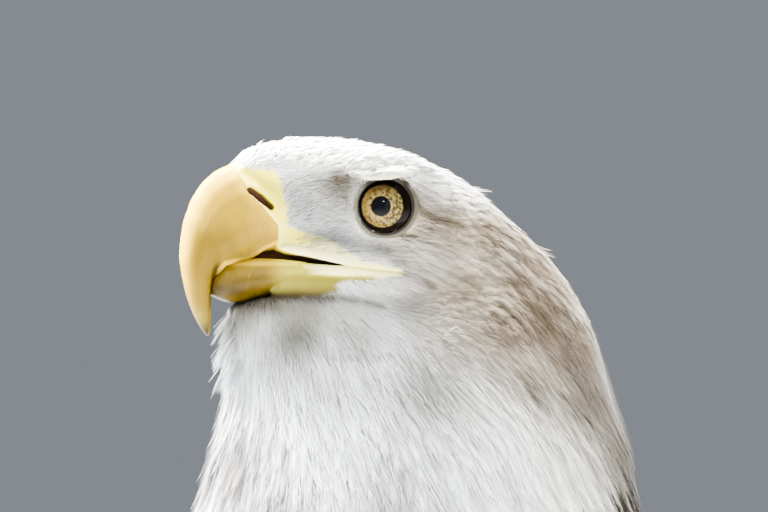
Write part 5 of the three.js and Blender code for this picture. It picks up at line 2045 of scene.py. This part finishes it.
class EAGLE_OT_wing_feathers(bpy.types.Operator):
    """Coverts, secondaries and primaries of both folded wings"""

    bl_idname = "eagle.wing_feathers"
    bl_label = "Wing feathers"

    def execute(self, context):
        wing = SHAPES["wing"]
        surface = SHAPES["outline"]
        finish = SHAPES["brown_finish"]
        rng = np.random.default_rng(51)
        way = np.array([wing.ALONG[0], 0.0, wing.ALONG[1]])
        # Rows of coverts: place along the wing, feather length, spacing across.
        rows, place, length, gap = [], 4.0, 20.0, 9.0
        while place < 150:
            rows.append((place, length, gap))
            place += length * 0.42
            length *= 1.16
            gap *= 1.10
        starts, lengths, widths = [], [], []
        for index, (along, length, gap) in enumerate(rows):
            low, high = wing.limits(along + length * 0.4)
            count = max(3, int((high - low) / gap))
            across = low + 3 + (high - low - 6) * (np.arange(count) + 0.25 + 0.5 * (index % 2)) / count
            across = across + rng.normal(0, gap * 0.06, count)
            starts.append(wing.at(np.full(count, along) + rng.normal(0, 1.5, count), across))
            lengths.append(np.full(count, length) * rng.uniform(0.92, 1.08, count))
            widths.append(np.full(count, gap * 0.78))
        starts, lengths, widths = map(np.concatenate, (starts, lengths, widths))
        ways = np.tile(way, (len(starts), 1))
        ways = unit(ways + rng.normal(0, 0.04, ways.shape))
        path, ups = straight_path(surface, starts, ways, lengths, lambda s: -5.5 + 5.2 * s**0.8, 6)
        coverts = Strips()
        feather_strips(
            coverts, path, ups, widths, barbs=16, segments=3, profile=oval, angles=(50, 20), rng=rng
        )
        # Flight feathers: secondaries fill the wing's outer half, and primaries run on to its tip.
        inner = 14
        share = (np.arange(inner) + 0.5) / inner
        low, high = wing.limits(138.0)
        across = low + 4 + (high - low - 8) * share
        roots = wing.at(np.full(inner, 124.0) - 14 * share, across)
        ends = np.interp(share, [0, 0.5, 1], [300, 322, 292])
        lift = -4.6 + 3.4 * share
        target = np.array([wing.limits(e * 0.93) for e in ends])
        across_end = target[:, 0] + 6 + (target[:, 1] - target[:, 0] - 27) * share
        path_in, ups_in = quill_path(surface, roots, wing.at(ends, across_end), lift, 20)
        secondaries = vane_mesh(path_in, ups_in, 13.5, quill, lean=0.25)
        tips = 7
        share = np.arange(tips) / (tips - 1)
        low, high = wing.limits(226.0)
        roots = wing.at(np.full(tips, 222.0), low + 5 + (high - low - 14) * share * 0.8)
        points, _ = node_mesh("wing_tip_left")
        along, _ = wing.terms(points)
        tip = points[along > along.max() - 8].mean(0)
        back = np.array([wing.ACROSS[0], 0.0, wing.ACROSS[1]])
        tip_ends = tip - np.outer(2 + 70 * (1 - share) ** 1.3, way) + np.outer(-4 - 7 * (1 - share), back)
        tip_ends[:, 1] += 1.6 * (1 - share)
        path_tip, ups_tip = quill_path(surface, roots, tip_ends, -4.8 + 2.2 * (1 - share), 20)
        primaries = vane_mesh(path_tip, ups_tip, 12.5, primary, lean=0.2)
        points, quads, owners, marks = joined_vanes(secondaries, primaries)
        flight_roots = np.concatenate([path_in[:, 0], path_tip[:, 0]])
        for name, hand in HANDS:
            tint = body_tint(starts, rng, False)
            shown = coverts if hand > 0 else coverts.mirrored()
            coat_piece(f"wing_coverts_{name}", shown, starts * [1, hand, 1], tint, finish, "wing_feathers")
            tint = body_tint(flight_roots, rng, False)
            vanes = (points * [1, hand, 1], quads[:, ::hand], owners, marks)
            feather_piece(
                f"flight_feathers_{name}", vanes, flight_roots, tint, SHAPES["flight_finish"],
                "wing_feathers", f"wing_tip_{name}",
            )
        return {"FINISHED"}


class EAGLE_OT_tail_feathers(bpy.types.Operator):
    """The twelve white tail feathers, closed to a narrow fan"""

    bl_idname = "eagle.tail_feathers"
    bl_label = "Tail feathers"

    def execute(self, context):
        rng = np.random.default_rng(61)
        points, _ = node_mesh("tail")
        tip = points[points[:, 0] < points[:, 0].min() + 14].mean(0)
        tip[1] = 0
        root = np.array([-236.0, 0.0, -364.0])
        way = unit(tip - root)
        over = unit(np.cross(way, [0.0, 1.0, 0.0]))
        over = over * np.sign(over[2])
        count = 12
        rank = np.arange(count) - (count - 1) / 2
        share = rank / rank.max()
        half = np.abs(points[:, 1]).max() - 11
        starts = root + np.outer(share * 20, [0, 1, 0]) + np.outer(-0.8 * np.abs(rank) + 1.0, over)
        drop = 2.0 - 0.75 * np.abs(rank) - 6 * share**2
        ends = tip + np.outer(share * half, [0, 1, 0]) + np.outer(drop, over)
        ends = ends - np.outer(6 + 24 * share**2, way)
        steps = 22
        line = np.linspace(0, 1, steps + 1)
        path = starts[:, None] + (ends - starts)[:, None] * line[:, None]
        path = path - over * (5 * np.sin(math.pi * line))[:, None] * 0.5
        ups = np.broadcast_to(over, path.shape) + np.outer(share, [0, 1, 0])[:, None] * 0.28
        vanes = vane_mesh(path, unit(ups), 13.0, quill, camber=0.06)
        tint = body_tint(starts, rng, True)
        feather_piece("tail_vanes", vanes, starts, tint, SHAPES["white_finish"], "tail_feathers", "tail")
        return {"FINISHED"}


OPERATORS = (
    EAGLE_OT_stage,
    EAGLE_OT_skin,
    EAGLE_OT_bill,
    EAGLE_OT_claws,
    EAGLE_OT_eyes,
    EAGLE_OT_face_bristles,
    EAGLE_OT_head_feathers,
    EAGLE_OT_neck_feathers,
    EAGLE_OT_fine_barbs,
    EAGLE_OT_tufts,
    EAGLE_OT_body_feathers,
    EAGLE_OT_wing_feathers,
    EAGLE_OT_tail_feathers,
)


class EAGLE_PT_panel(bpy.types.Panel):
    """Lists the eagle's steps in building order"""

    bl_label = "Bald eagle"
    bl_idname = "EAGLE_PT_panel"
    bl_space_type = "VIEW_3D"
    bl_region_type = "UI"
    bl_category = "Eagle"

    def draw(self, context):
        for operator in OPERATORS:
            self.layout.operator(operator.bl_idname)


CLASSES = (EagleSizes, EagleColours, *OPERATORS, EAGLE_PT_panel)


def register():
    for item in CLASSES:
        bpy.utils.register_class(item)
    bpy.types.Scene.eagle_sizes = PointerProperty(type=EagleSizes)
    bpy.types.Scene.eagle_colours = PointerProperty(type=EagleColours)


def unregister():
    del bpy.types.Scene.eagle_colours
    del bpy.types.Scene.eagle_sizes
    for item in reversed(CLASSES):
        bpy.utils.unregister_class(item)


def main():
    """Builds the eagle."""
    register()
    SHAPES["white_finish"] = feather_finish("white_feathers")
    SHAPES["brown_finish"] = feather_finish("brown_feathers", 0.08, 0.035)
    SHAPES["flight_finish"] = feather_finish("flight_feathers", 0.14, 0.06)
    for operator in OPERATORS:
        family, name = operator.bl_idname.split(".")
        getattr(getattr(bpy.ops, family), name)()
    boxes = {"cad": CAD_BOX, "visual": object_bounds()}
    {key: [list(map(float, corner)) for corner in box] for key, box in boxes.items()}


if __name__ == "__main__":
    main()
